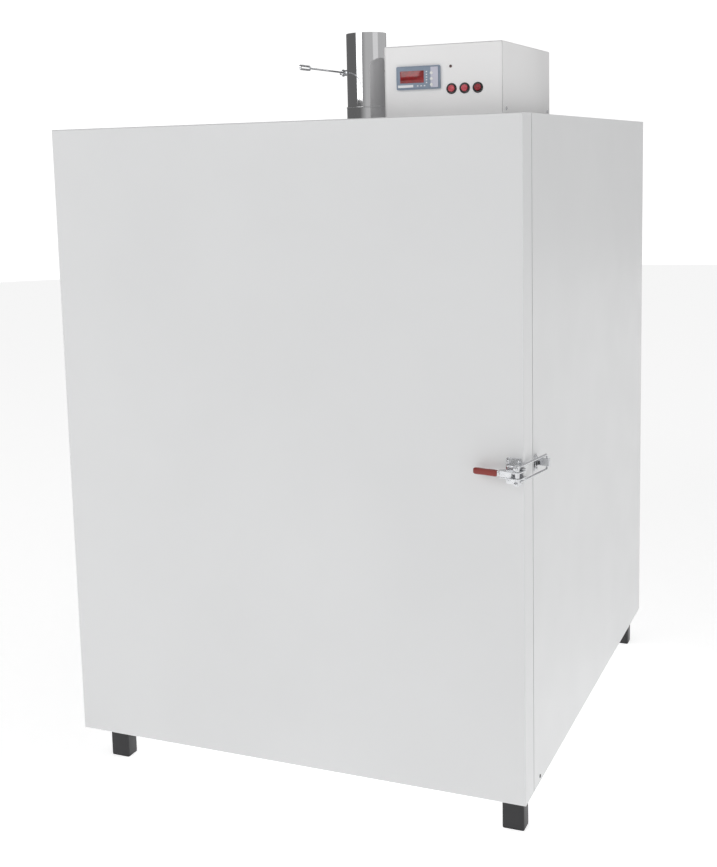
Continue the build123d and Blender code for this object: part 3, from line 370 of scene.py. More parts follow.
@dataclass(frozen=True)
class Finish:
    """A surface finish, whose material is made once and shared."""

    name: str
    slot: str
    colour: Colour

    @property
    def material(self) -> bpy.types.Material:
        """The finish's material, made on first use."""
        return bpy.data.materials.get(self.name) or self.make()

    def make(self) -> bpy.types.Material:
        """Make the material.

        Returns:
            The new material.
        """
        material = bpy.data.materials.new(self.name)
        material.use_nodes = True
        material.diffuse_color = self.colour
        net = Net(material.node_tree)
        net.tree.nodes.clear()
        shader = net.add("ShaderNodeBsdfPrincipled", {"Base Color": self.colour})
        net.add("ShaderNodeOutputMaterial", {"Surface": shader.outputs[0]})
        self.lay_out(net, shader.inputs)
        return material

    def lay_out(self, net: Net, sockets: bpy.types.NodeInputs) -> None:
        """Fill the shader's inputs.

        Args:
            net: The material's nodes.
            sockets: The shader's inputs.
        """
        raise NotImplementedError

    def shade(self, factor: float) -> Colour:
        """The colour made darker or lighter."""
        return (*(min(1.0, part * factor) for part in self.colour[:3]), 1.0)


@dataclass(frozen=True)
class PowderCoat(Finish):
    """Baked coat on sheet metal."""

    roughness: tuple[float, float] = (0.3, 0.38)
    relief: float = 0.00002
    dust: float = 0.05
    wear: float = 0.0

    def lay_out(self, net: Net, sockets: bpy.types.NodeInputs) -> None:
        """Fill the shader's inputs.

        Args:
            net: The material's nodes.
            sockets: The shader's inputs.
        """
        patches = net.patches(2.6)
        tint = net.blend(patches, self.shade(0.975), self.colour)
        rubbed = net.group(RubFlecks, Scale=45.0, Amount=self.wear).outputs["Mask"]
        tint = net.blend(rubbed, tint, self.shade(0.8))
        dust = net.group(SettledDust, Scale=12.0, Amount=self.dust).outputs["Mask"]
        net.feed(sockets["Base Color"], net.blend(dust, tint, DUST_COLOUR))
        low, high = self.roughness
        net.feed(sockets["Roughness"], net.patches(7.0, low, high))
        height = net.group(BakedRelief).outputs["Height"]
        net.feed(sockets["Normal"], net.bump(height, self.relief))
        net.feed(sockets["Specular IOR Level"], 0.45)


@dataclass(frozen=True)
class WorkedMetal(Finish):
    """Bare metal with long fine lines in one direction."""

    stretch: tuple[float, float, float] = (6.0, 900.0, 900.0)
    roughness: tuple[float, float] = (0.2, 0.38)
    relief: float = 0.000006
    contrast: float = 0.9
    stain: float = 0.1

    def lay_out(self, net: Net, sockets: bpy.types.NodeInputs) -> None:
        """Fill the shader's inputs.

        Args:
            net: The material's nodes.
            sockets: The shader's inputs.
        """
        low, high = self.roughness
        lines = net.group(MetalGrain, Stretch=self.stretch, Low=low, High=high)
        patches = net.patches(9.0)
        tint = net.blend(patches, self.shade(self.contrast), self.colour)
        stain = net.group(RubFlecks, Scale=22.0, Amount=self.stain).outputs["Mask"]
        net.feed(sockets["Base Color"], net.blend(stain, tint, self.shade(0.72)))
        net.feed(sockets["Metallic"], 1.0)
        net.feed(sockets["Roughness"], lines.outputs["Value"])
        net.feed(sockets["Normal"], net.bump(lines.outputs["Height"], self.relief))


@dataclass(frozen=True)
class Moulded(Finish):
    """Moulded plastic with a fine grain."""

    roughness: tuple[float, float] = (0.38, 0.5)
    grain: float = 1400.0
    relief: float = 0.00001
    coat: float = 0.0
    dust: float = 0.06

    def lay_out(self, net: Net, sockets: bpy.types.NodeInputs) -> None:
        """Fill the shader's inputs.

        Args:
            net: The material's nodes.
            sockets: The shader's inputs.
        """
        patches = net.patches(30.0)
        tint = net.blend(patches, self.shade(0.93), self.colour)
        dust = net.group(SettledDust, Scale=60.0, Amount=self.dust).outputs["Mask"]
        net.feed(sockets["Base Color"], net.blend(dust, tint, DUST_COLOUR))
        low, high = self.roughness
        net.feed(sockets["Roughness"], net.patches(40.0, low, high))
        height = net.group(BakedRelief, **{"Scale": self.grain, "Wave Height": 0.0}).outputs["Height"]
        net.feed(sockets["Normal"], net.bump(height, self.relief))
        net.feed(sockets["Coat Weight"], self.coat)
        net.feed(sockets["Coat Roughness"], 0.08)


@dataclass(frozen=True)
class LitLens(Finish):
    """Clear coloured plastic over a dark or pale inside."""

    inside: Colour = (0.2, 0.01, 0.01, 1.0)
    roughness: float = 0.12

    def lay_out(self, net: Net, sockets: bpy.types.NodeInputs) -> None:
        """Fill the shader's inputs.

        Args:
            net: The material's nodes.
            sockets: The shader's inputs.
        """
        ribs = net.patches(160.0)
        net.feed(sockets["Base Color"], net.blend(ribs, self.inside, self.colour))
        net.feed(sockets["Roughness"], net.patches(80.0, self.roughness, self.roughness * 1.6))
        net.feed(sockets["Coat Weight"], 0.6)
        net.feed(sockets["Coat Roughness"], 0.05)


@dataclass(frozen=True)
class Wool(Finish):
    """Matted mineral fibres."""

    def lay_out(self, net: Net, sockets: bpy.types.NodeInputs) -> None:
        """Fill the shader's inputs.

        Args:
            net: The material's nodes.
            sockets: The shader's inputs.
        """
        fibres = net.group(MetalGrain, Stretch=(240.0, 60.0, 500.0), Low=0.0, High=1.0)
        net.feed(sockets["Base Color"], net.blend(fibres.outputs["Value"], self.shade(0.7), self.colour))
        net.feed(sockets["Roughness"], 0.95)
        net.feed(sockets["Normal"], net.bump(fibres.outputs["Height"], 0.0015))


WHITE = PowderCoat("white_powder_coat", "white_coat", (0.8, 0.805, 0.81, 1.0))
BOX_WHITE = PowderCoat("roof_box_coat", "white_coat", (0.94, 0.935, 0.935, 1.0), roughness=(0.34, 0.42))
BLACK = PowderCoat("black_leg_coat", "black_coat", (0.022, 0.022, 0.024, 1.0), roughness=(0.34, 0.48),
                   wear=0.25, dust=0.2)
MOTOR_COAT = PowderCoat("motor_paint", "motor_coat", (0.06, 0.075, 0.09, 1.0), roughness=(0.4, 0.5))
GALVANISED = WorkedMetal("galvanised_sheet", "galvanised", (0.56, 0.58, 0.6, 1.0),
                         stretch=(40.0, 40.0, 40.0), roughness=(0.34, 0.5), contrast=0.78)
STAINLESS = WorkedMetal("brushed_stainless", "stainless", (0.6, 0.6, 0.59, 1.0),
                        stretch=(900.0, 6.0, 900.0), roughness=(0.22, 0.36))
POLISHED = WorkedMetal("polished_tube", "polished", (0.72, 0.72, 0.73, 1.0),
                       stretch=(400.0, 400.0, 3.0), roughness=(0.03, 0.075), relief=0.000001,
                       contrast=0.97, stain=0.03)
ZINC = WorkedMetal("bright_zinc", "zinc", (0.74, 0.75, 0.77, 1.0), stretch=(120.0, 120.0, 120.0),
                   roughness=(0.16, 0.28), relief=0.000008, contrast=0.86)
GROUND = WorkedMetal("ground_steel", "steel", (0.5, 0.5, 0.51, 1.0), stretch=(800.0, 800.0, 12.0),
                     roughness=(0.22, 0.34))
SHEATH = WorkedMetal("heater_sheath", "heater_sheath", (0.23, 0.21, 0.19, 1.0),
                     stretch=(90.0, 90.0, 20.0), roughness=(0.42, 0.6), contrast=0.7, stain=0.3)
FINNED = WorkedMetal("relay_fins", "relay_alu", (0.62, 0.62, 0.64, 1.0), stretch=(900.0, 8.0, 900.0))
WOOL = Wool("mineral_wool", "insulation", (0.66, 0.6, 0.45, 1.0))
SILICONE = Moulded("silicone_seal", "silicone", (0.42, 0.07, 0.045, 1.0), roughness=(0.5, 0.62))
BLACK_PLASTIC = Moulded("black_plastic", "black_plastic", (0.015, 0.015, 0.017, 1.0))
SWITCH_BLACK = Moulded("switch_ring_plastic", "black_plastic", (0.01, 0.01, 0.012, 1.0),
                       roughness=(0.2, 0.3), coat=0.3)
METER_GREY = Moulded("meter_case_plastic", "grey_plastic", (0.25, 0.31, 0.4, 1.0))
METER_STRIP = Moulded("meter_key_strip", "grey_plastic", (0.62, 0.62, 0.72, 1.0))
METER_MARK = Moulded("meter_marks", "key_white", (0.85, 0.86, 0.88, 1.0))
KEY_WHITE = Moulded("key_plastic", "key_white", (0.86, 0.86, 0.86, 1.0), roughness=(0.24, 0.32), coat=0.3)
CREAM = Moulded("terminal_plastic", "terminal_cream", (0.74, 0.69, 0.55, 1.0))
GRIP_RED = Moulded("dipped_grip", "grip_red", (0.27, 0.022, 0.014, 1.0), roughness=(0.28, 0.4),
                   grain=500.0, relief=0.00003, coat=0.25)
WINDOW_RED = LitLens("meter_window", "window_red", (0.33, 0.012, 0.015, 1.0))
LAMP_RED = LitLens("pilot_lens", "lamp_red", (0.09, 0.006, 0.006, 1.0), inside=(0.03, 0.004, 0.004, 1.0))
ROCKER_RED = LitLens("rocker_lens", "rocker_red", (0.72, 0.13, 0.16, 1.0), inside=(0.5, 0.05, 0.07, 1.0))
ROCKER_DARK = LitLens("rocker_lens_unlit", "rocker_red", (0.4, 0.03, 0.045, 1.0),
                      inside=(0.24, 0.015, 0.02, 1.0))


# Outlines and paths

class Up(Enum):
    """Direction in which an outline is raised. Its first two axes carry the outline."""

    X = ((0, 1, 0), (0, 0, 1), (1, 0, 0))
    Y = ((1, 0, 0), (0, 0, 1), (0, 1, 0))
    Z = ((1, 0, 0), (0, 1, 0), (0, 0, 1))

    def place(self, origin: Iterable[float]) -> Matrix:
        """Build the matrix from outline and height to the frame.

        Args:
            origin: Where the outline's zero lies.

        Returns:
            The matrix.
        """
        matrix = Matrix([Vector(axis) for axis in self.value]).transposed().to_4x4()
        matrix.translation = Vector(origin)
        return matrix


def ring_of(radius: float, steps: int, centre: Flat = (0.0, 0.0), turn: float = 0.0) -> list[Flat]:
    """Points evenly spaced on a circle.

    Args:
        radius: The circle's radius.
        steps: Number of points.
        centre: The circle's centre.
        turn: Angle of the first point.

    Returns:
        The points.
    """
    angles = [turn + 2 * math.pi * i / steps for i in range(steps)]
    return [(centre[0] + radius * math.cos(a), centre[1] + radius * math.sin(a)) for a in angles]


def mirrored(upper: Sequence[Flat]) -> list[Flat]:
    """Profile that is the same below height zero as above it.

    Args:
        upper: Radius and height of the points above, from the middle up.

    Returns:
        The whole profile, from the bottom up.
    """
    return [(radius, -height) for radius, height in reversed(upper)] + list(upper)


def hull_of(circles: Iterable[tuple[float, float, float]], steps: int = 32) -> list[Flat]:
    """Tight outline round circles.

    Args:
        circles: Centre and radius of each circle.
        steps: Points on each full circle.

    Returns:
        The outline.
    """
    points = [point for u, v, radius in circles for point in ring_of(radius, steps, (u, v))]
    return [points[i] for i in convex_hull_2d([Vector(point) for point in points])]


def rounded_box(half_u: float, half_v: float, radius: float, centre: Flat = (0.0, 0.0)) -> list[Flat]:
    """Rectangle with round corners.

    Args:
        half_u: Half its width.
        half_v: Half its height.
        radius: Radius of its corners.
        centre: Its centre.

    Returns:
        The outline.
    """
    u, v = half_u - radius, half_v - radius
    corners = [(centre[0] + su * u, centre[1] + sv * v, radius) for su in (-1, 1) for sv in (-1, 1)]
    return hull_of(corners, 24)


def rounded_path(corners: Sequence[Vector], radius: float, steps: int = 8) -> list[Vector]:
    """Straight runs joined by arcs.

    Args:
        corners: The corners, with both ends.
        radius: Radius of every arc.
        steps: Pieces in each arc.

    Returns:
        The path's points.
    """
    path = [corners[0].copy()]
    for before, corner, after in zip(corners, corners[1:], corners[2:]):
        back, ahead = (before - corner).normalized(), (after - corner).normalized()
        half = back.angle(ahead) / 2
        centre = corner + (back + ahead).normalized() * radius / math.sin(half)
        start = corner + back * radius / math.tan(half) - centre
        end = corner + ahead * radius / math.tan(half) - centre
        turn = start.angle(end)
        for i in range(steps + 1):
            share = i / steps
            weight = math.sin((1 - share) * turn), math.sin(share * turn)
            path.append(centre + (start * weight[0] + end * weight[1]) / math.sin(turn))
    return path + [corners[-1].copy()]


def divided(path: Sequence[Vector], pitch: float) -> list[Vector]:
    """Split long runs into short ones.

    Args:
        path: The path's points.
        pitch: Longest run that stays.

    Returns:
        The finer path.
    """
    points = [path[0]]
    for start, end in zip(path, path[1:]):
        count = max(1, math.ceil((end - start).length / pitch))
        points += [start.lerp(end, (i + 1) / count) for i in range(count)]
    return points


# Mesh drawing

class Draft:
    """A mesh while it is drawn."""

    def __init__(self) -> None:
        """Start an empty mesh."""
        self.bm = bmesh.new()

    def soften(self, verts: Iterable[bmesh.types.BMVert], width: float, steps: int) -> None:
        """Round the sharp edges between vertices.

        Args:
            verts: The vertices of one closed form.
            width: How far the rounding reaches. Zero leaves the edges sharp.
            steps: Faces across the rounding.
        """
        if width <= 0:
            return
        edges = {edge for vert in verts for edge in vert.link_edges}
        sharp = [edge for edge in edges if edge.calc_face_angle(0.0) > SMOOTH_LIMIT]
        bmesh.ops.bevel(self.bm, geom=sharp, offset=width, segments=steps, profile=0.5,
                        affect="EDGES", clamp_overlap=True)

    def block(self, low: Sequence[float], high: Sequence[float], edge: float = 0.0,
              steps: int = 2) -> "Draft":
        """Add a box with softened edges.

        Args:
            low: Its lowest corner.
            high: Its highest corner.
            edge: Width of the softening.
            steps: Faces across it.

        Returns:
            The draft.
        """
        verts = bmesh.ops.create_cube(self.bm, size=1.0)["verts"]
        for vert in verts:
            vert.co = Vector([a + (c + 0.5) * (b - a) for a, b, c in zip(low, high, vert.co)])
        self.soften(verts, edge, steps)
        return self

    def prism(self, outline: Sequence[Flat], low: float, high: float, place: Matrix,
              edge: float = 0.0, steps: int = 2) -> "Draft":
        """Raise an outline between two heights.

        Args:
            outline: The outline's points.
            low: The lower height.
            high: The upper height.
            place: Matrix to the frame.
            edge: Width of the softening of its sharp edges.
            steps: Faces across it.

        Returns:
            The draft.
        """
        rings = [[self.bm.verts.new(place @ Vector((u, v, w))) for u, v in outline] for w in (low, high)]
        faces = [self.bm.faces.new(ring) for ring in rings]
        count = len(outline)
        for i in range(count):
            j = (i + 1) % count
            faces.append(self.bm.faces.new((rings[0][i], rings[0][j], rings[1][j], rings[1][i])))
        bmesh.ops.recalc_face_normals(self.bm, faces=faces)
        self.soften(rings[0] + rings[1], edge, steps)
        return self

    def loft(self, rings: Sequence[Sequence[Vector]], closed: bool = False) -> "Draft":
        """Join rings of equally many points, with caps unless the last one meets the first.

        Args:
            rings: The rings, in order.
            closed: Whether the last ring joins the first.

        Returns:
            The draft.
        """
        made = [[self.bm.verts.new(point) for point in ring] for ring in rings]
        pairs = list(zip(made, made[1:])) + ([(made[-1], made[0])] if closed else [])
        faces = [] if closed else [self.bm.faces.new(made[0]), self.bm.faces.new(made[-1])]
        count = len(made[0])
        for near, far in pairs:
            for i in range(count):
                j = (i + 1) % count
                faces.append(self.bm.faces.new((near[i], near[j], far[j], far[i])))
        bmesh.ops.recalc_face_normals(self.bm, faces=faces)
        return self

    def lathe(self, profile: Sequence[Flat], place: Matrix, steps: int = 64,
              closed: bool = False) -> "Draft":
        """Turn a profile about the height's axis.

        Args:
            profile: Radius and height of each point.
            place: Matrix to the frame.
            steps: Points round the axis.
            closed: Whether the profile is a closed loop, as of a tube's wall.

        Returns:
            The draft.
        """
        rings = [[place @ Vector((u, v, height)) for u, v in ring_of(max(radius, AXIS_RADIUS), steps)]
                 for radius, height in profile]
        return self.loft(rings, closed)

    def pipe(self, path: Sequence[Vector], radius: float | Callable[[float], float],
             sides: int = 16) -> "Draft":
        """Round bar along a path.

        Args:
            path: The path's points.
            radius: Its radius, or a function from the distance along the path to the radius.
            sides: Points round the bar.

        Returns:
            The draft.
        """
        rings: list[list[Vector]] = []
        ahead = (path[1] - path[0]).normalized()
        side = ahead.orthogonal().normalized()
        travelled = 0.0
        for i, point in enumerate(path):
            previous, following = path[max(i - 1, 0)], path[min(i + 1, len(path) - 1)]
            ahead = (following - previous).normalized()
            side = (side - ahead * side.dot(ahead)).normalized()
            across = ahead.cross(side)
            travelled += (point - previous).length
            size = radius(travelled) if callable(radius) else radius
            rings.append([point + side * u + across * v for u, v in ring_of(size, sides)])
        return self.loft(rings)

    def stamp(self, mesh: bpy.types.Mesh, place: Matrix) -> "Draft":
        """Add a copy of a finished mesh.

        Args:
            mesh: The mesh.
            place: Matrix to the frame.

        Returns:
            The draft.
        """
        known = set(self.bm.verts)
        self.bm.from_mesh(mesh)
        added = [vert for vert in self.bm.verts if vert not in known]
        bmesh.ops.transform(self.bm, matrix=place, verts=added)
        return self

    def mesh(self, name: str) -> bpy.types.Mesh:
        """Write the mesh, smooth apart from its sharp edges.

        Args:
            name: The mesh's name.

        Returns:
            The mesh.
        """
        for face in self.bm.faces:
            face.smooth = True
        for edge in self.bm.edges:
            edge.smooth = edge.calc_face_angle(math.pi) < SMOOTH_LIMIT
        mesh = bpy.data.meshes.new(name)
        self.bm.to_mesh(mesh)
        self.bm.free()
        return mesh

    def release(self, name: str, finish: Finish, body: str, *nodes: str) -> bpy.types.Object:
        """Turn the draft into a piece of the object.

        Args:
            name: The piece's name.
            finish: Its finish.
            body: The body that it rides on.
            nodes: The frame's nodes that it stands for.

        Returns:
            The piece.
        """
        mesh = self.mesh(name)
        mesh.materials.append(finish.material)
        piece = bpy.data.objects.new(name, mesh)
        bpy.context.scene.collection.objects.link(piece)
        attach(piece, body)
        if nodes:
            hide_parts(*nodes)
        LOG.info("%s: %d faces on %s", name, len(mesh.polygons), body)
        return piece


def dress(finish: Finish, *nodes: str) -> None:
    """Give nodes of the frame their finish.

    Args:
        finish: The finish.
        nodes: The nodes.
    """
    for node in nodes:
        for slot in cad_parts[node].material_slots:
            slot.link = "DATA"
            slot.material = finish.material
        LOG.info("%s dressed in %s", node, finish.name)


class Fasteners:
    """Small screws, drawn once and stamped where they are needed."""

    _heads: dict[str, bpy.types.Mesh] = {}

    @classmethod
    def pan_head(cls) -> bpy.types.Mesh:
        """Pan head of unit radius with a cross recess, along +Z.

        Returns:
            The mesh.
        """
        if "pan" not in cls._heads:
            cls._heads["pan"] = cls.cut_cross()
        return cls._heads["pan"]

    @staticmethod
    def cut_cross() -> bpy.types.Mesh:
        """Draw the head and cut its recess.

        Returns:
            The mesh.
        """
        profile = [(0.0, 0.0), (1.0, 0.0), (1.0, 0.22), (0.93, 0.4), (0.75, 0.53), (0.4, 0.6), (0.0, 0.62)]
        head = bpy.data.objects.new("head", Draft().lathe(profile, Matrix(), 32).mesh("head"))
        cross = Draft()
        for long_side, short_side in ((0.5, 0.11), (0.11, 0.5)):
            cross.block((-long_side, -short_side, 0.28), (long_side, short_side, 1.0))
        tool = bpy.data.objects.new("cross", cross.mesh("cross"))
        for item in (head, tool):
            bpy.context.scene.collection.objects.link(item)
        cut = head.modifiers.new("recess", "BOOLEAN")
        cut.object = tool
        cut.operation = "DIFFERENCE"
        cut.use_self = True
        view = bpy.context.evaluated_depsgraph_get()
        mesh = bpy.data.meshes.new_from_object(head.evaluated_get(view))
        for item in (head, tool):
            bpy.data.objects.remove(item)
        return mesh

    @classmethod
    def place(cls, draft: Draft, spot: Iterable[float], out: Iterable[float], radius: float,
              turn: float = 0.3) -> None:
        """Stamp one screw head.

        Args:
            draft: The draft that gets it.
            spot: Centre of the face that it sits on.
            out: Direction that it faces.
            radius: Its radius.
            turn: Angle of its recess.
        """
        aim = Vector(out).to_track_quat("Z", "Y").to_matrix().to_4x4()
        spin = Matrix.Rotation(turn, 4, "Z")
        draft.stamp(cls.pan_head(), Matrix.Translation(Vector(spot)) @ aim @ spin @ Matrix.Scale(radius, 4))


# Sub-assemblies

@dataclass
class CabinetBody:
    """Outer sheets, legs and plugs."""

    leg_half: Flat = (25 * MM, 20 * MM)
    leg_corner: float = 4 * MM
    cap_inset: float = 0.4 * MM
    cap_edge: float = 0.8 * MM
    plug_radius: float = 4.5 * MM
    plug_dome: float = 1.1 * MM
    plug_to_seam: float = 10 * MM
    plug_to_bottom: float = 14 * MM
    cover_screw: float = 4.2 * MM
    cover_margin: float = 11 * MM

    def build(self) -> None:
        """Dress the sheets and draw the legs, the plugs and the screws."""
        dress(WHITE, "front_frame", "left_side_panel", "right_side_panel", "top_panel", "bottom_panel",
              "rear_panel", "rear_service_cover")
        dress(GALVANISED, "rear_bulkhead")
        dress(WOOL, "wall_insulation")
        self.legs()
        self.cover_screws()

    def leg_places(self) -> list[Flat]:
        """Centre of each leg, read from the frame.

        Returns:
            Centre x and centre y of each leg.
        """
        low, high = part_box("legs")
        half_w, half_d = self.leg_half
        return [(x, y)
                for x in (low[0] + half_w, high[0] - half_w)
                for y in (low[1] + half_d, high[1] - half_d)]

    def legs(self) -> None:
        """Rectangular tubes with round corners, their caps, and the plug on the right side."""
        low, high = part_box("legs")
        half_w, half_d = self.leg_half
        tube = rounded_box(half_w, half_d, self.leg_corner)
        cap = rounded_box(half_w - self.cap_inset, half_d - self.cap_inset, self.leg_corner)
        tubes, caps = Draft(), Draft()
        for x, y in self.leg_places():
            place = Up.Z.place((x, y, 0))
            tubes.prism(tube, low[2], high[2], place)
            caps.prism(cap, 0.0, low[2], place, self.cap_edge)
        tubes.release("legs_tubes", BLACK, "cabinet", "legs")
        self.side_plug(caps)
        caps.release("plugs_and_caps", BLACK_PLASTIC, "cabinet", "plastic_plugs")

    def side_plug(self, draft: Draft) -> None:
        """Draw the domed plug low on the right side, just in front of the frame's seam.

        Args:
            draft: The draft that gets it.
        """
        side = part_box("right_side_panel")[1][0]
        frame_low, frame_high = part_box("front_frame")
        spot = (side, frame_high[1] - self.plug_to_seam, frame_low[2] + self.plug_to_bottom)
        profile = [(0.0, 0.0), (self.plug_radius, 0.0), (self.plug_radius * 0.9, self.plug_dome * 0.7),
                   (self.plug_radius * 0.5, self.plug_dome), (0.0, self.plug_dome)]
        draft.lathe(profile, Up.X.place(spot), 24)

    def cover_screws(self) -> None:
        """Screws round the rear service cover."""
        low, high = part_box("rear_service_cover")
        draft = Draft()
        middle = (low[2] + high[2]) / 2
        for x in (low[0] + self.cover_margin, high[0] - self.cover_margin):
            for z in (low[2] + self.cover_margin, middle, high[2] - self.cover_margin):
                Fasteners.place(draft, (x, high[1], z), (0, 1, 0), self.cover_screw, x + z)
        draft.release("service_cover_screws", ZINC, "cabinet")


@dataclass
class Door:
    """Door leaf with its seal."""

    bulb_height: float = 3.9 * MM
    lip_width: float = 15.6 * MM

    def build(self) -> None:
        """Dress the leaf and draw the seal."""
        dress(WHITE, "door_skin")
        dress(STAINLESS, "door_inner_panel")
        dress(WOOL, "door_insulation")
        self.seal()

    def seal(self) -> None:
        """Ribbed silicone frame with mitred corners. Its profile is in shares of its width and height."""
        low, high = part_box("door_gasket")
        half_x = (high[0] - low[0]) / 2 - self.lip_width
        half_z = (high[2] - low[2]) / 2 - self.lip_width
        centre_z = (low[2] + high[2]) / 2
        width, tall = self.lip_width, self.bulb_height
        profile = [(0.0, 0.0), (0.0, 0.35), (0.08, 0.8), (0.2, 1.0), (0.32, 0.8), (0.42, 0.45),
                   (0.55, 0.45), (0.66, 0.85), (0.78, 1.0), (0.9, 0.8), (1.0, 0.35), (1.0, 0.0)]
        rings = []
        for sx, sz in ((-1, -1), (1, -1), (1, 1), (-1, 1)):
            rings.append([Vector((sx * (half_x + a * width), low[1] + b * tall,
                                  centre_z + sz * (half_z + a * width))) for a, b in profile])
        Draft().loft(rings, closed=True).release("door_seal", SILICONE, "door", "door_gasket")


@dataclass
class Hinges:
    """Three barrel hinges on the left."""

    axis_gap: float = 10 * MM
    height: float = 120 * MM
    barrel: float = 9 * MM
    bore: float = 5.1 * MM
    barrel_rim: float = 0.8 * MM
    knuckle_gap: float = 0.3 * MM
    leaf_thickness: float = 3 * MM
    leaf_start: float = 10.5 * MM
    leaf_end: float = 38 * MM
    leaf_corner: float = 5 * MM
    strap: float = 5.5 * MM
    strap_lap: float = 2 * MM
    strap_inset: float = 0.5 * MM
    edge: float = 0.5 * MM
    pin: float = 5 * MM
    pin_head: float = 7 * MM
    pin_head_side: float = 1.4 * MM
    pin_crown: float = 5.5 * MM
    pin_head_height: float = 2.5 * MM
    screw: float = 4.6 * MM
    screw_row: float = 26 * MM
    screw_pitch: float = 40 * MM

    def centres(self) -> list[float]:
        """Heights of the hinges, read from the frame.

        Returns:
            The middle height of each hinge.
        """
        low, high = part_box("hinge_frame_leaves")
        first, last = low[2] + self.height / 2, high[2] - self.height / 2
        return [first, (first + last) / 2, last]

    def knuckles(self, draft: Draft, spans: Iterable[Flat], origin: Vector) -> None:
        """Draw the barrels of one leaf.

        Args:
            draft: The draft that gets them.
            spans: Lower and upper height of each barrel.
            origin: A point on the hinge's axis, at height zero.
        """
        rim = self.barrel_rim
        for low, high in spans:
            profile = [(self.bore, low), (self.barrel - rim, low), (self.barrel, low + rim),
                       (self.barrel, high - rim), (self.barrel - rim, high), (self.bore, high)]
            draft.lathe(profile, Up.Z.place(origin), 40, closed=True)

    def leaf(self, draft: Draft, middle: float, side: int, spans: list[Flat], origin: Vector) -> None:
        """Draw one leaf, its barrels and the straps that carry them.

        Args:
            draft: The draft that gets it.
            middle: Height of the hinge's middle.
            side: 1 on the frame, -1 on the door.
            spans: Heights of its barrels.
            origin: A point on the hinge's axis, at height zero.
        """
        wall = origin.x + self.axis_gap
        centre = origin.y + side * (self.leaf_start + self.leaf_end) / 2
        outline = rounded_box((self.leaf_end - self.leaf_start) / 2, self.height / 2, self.leaf_corner,
                              (centre, middle))
        draft.prism(outline, wall - self.leaf_thickness, wall, Up.X.place((0, 0, 0)), self.edge)
        self.knuckles(draft, spans, origin)
        for low, high in spans:
            ends = sorted((origin.y, origin.y + side * (self.leaf_start + self.strap_lap)))
            draft.block((wall - self.strap, ends[0], low + self.strap_inset),
                        (wall, ends[1], high - self.strap_inset))

    def headed_pin(self, draft: Draft, low: float, high: float, origin: Vector) -> None:
        """Draw one hinge pin, with a domed head on top.

        Args:
            draft: The draft that gets it.
            low: Height of its lower end.
            high: Height of the uppermost barrel's top, on which the head rests.
            origin: A point on the hinge's axis, at height zero.
        """
        profile = [(0.0, low), (self.pin, low), (self.pin, high), (self.pin_head, high),
                   (self.pin_head, high + self.pin_head_side), (self.pin_crown, high + self.pin_head_height),
                   (0.0, high + self.pin_head_height)]
        draft.lathe(profile, Up.Z.place(origin), 32)

    def build(self) -> None:
        """Draw both leaves, the pins and the screws."""
        frame_low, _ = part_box("front_frame")
        _, door_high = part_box("door_skin")
        origin = Vector((frame_low[0] - self.axis_gap, (frame_low[1] + door_high[1]) / 2, 0))
        leaf_face = origin.x + self.axis_gap - self.leaf_thickness
        fixed, moving, pins = Draft(), Draft(), Draft()
        half, inner_half = self.height / 2, self.height / 6
        for middle in self.centres():
            outer = [(middle - half, middle - inner_half), (middle + inner_half, middle + half)]
            inner = [(middle - inner_half + self.knuckle_gap, middle + inner_half - self.knuckle_gap)]
            self.leaf(fixed, middle, 1, outer, origin)
            self.leaf(moving, middle, -1, inner, origin)
            self.headed_pin(pins, middle - half, middle + half, origin)
            for draft, side in ((fixed, 1), (moving, -1)):
                for step in (-1, 0, 1):
                    spot = (leaf_face, origin.y + side * self.screw_row, middle + step * self.screw_pitch)
                    Fasteners.place(draft, spot, (-1, 0, 0), self.screw, step + side)
        fixed.release("hinge_leaves_on_frame", ZINC, "cabinet", "hinge_frame_leaves")
        moving.release("hinge_leaves_on_door", ZINC, "door", "hinge_door_leaves")
        pins.release("hinge_pin_set", GROUND, "cabinet", "hinge_pins")


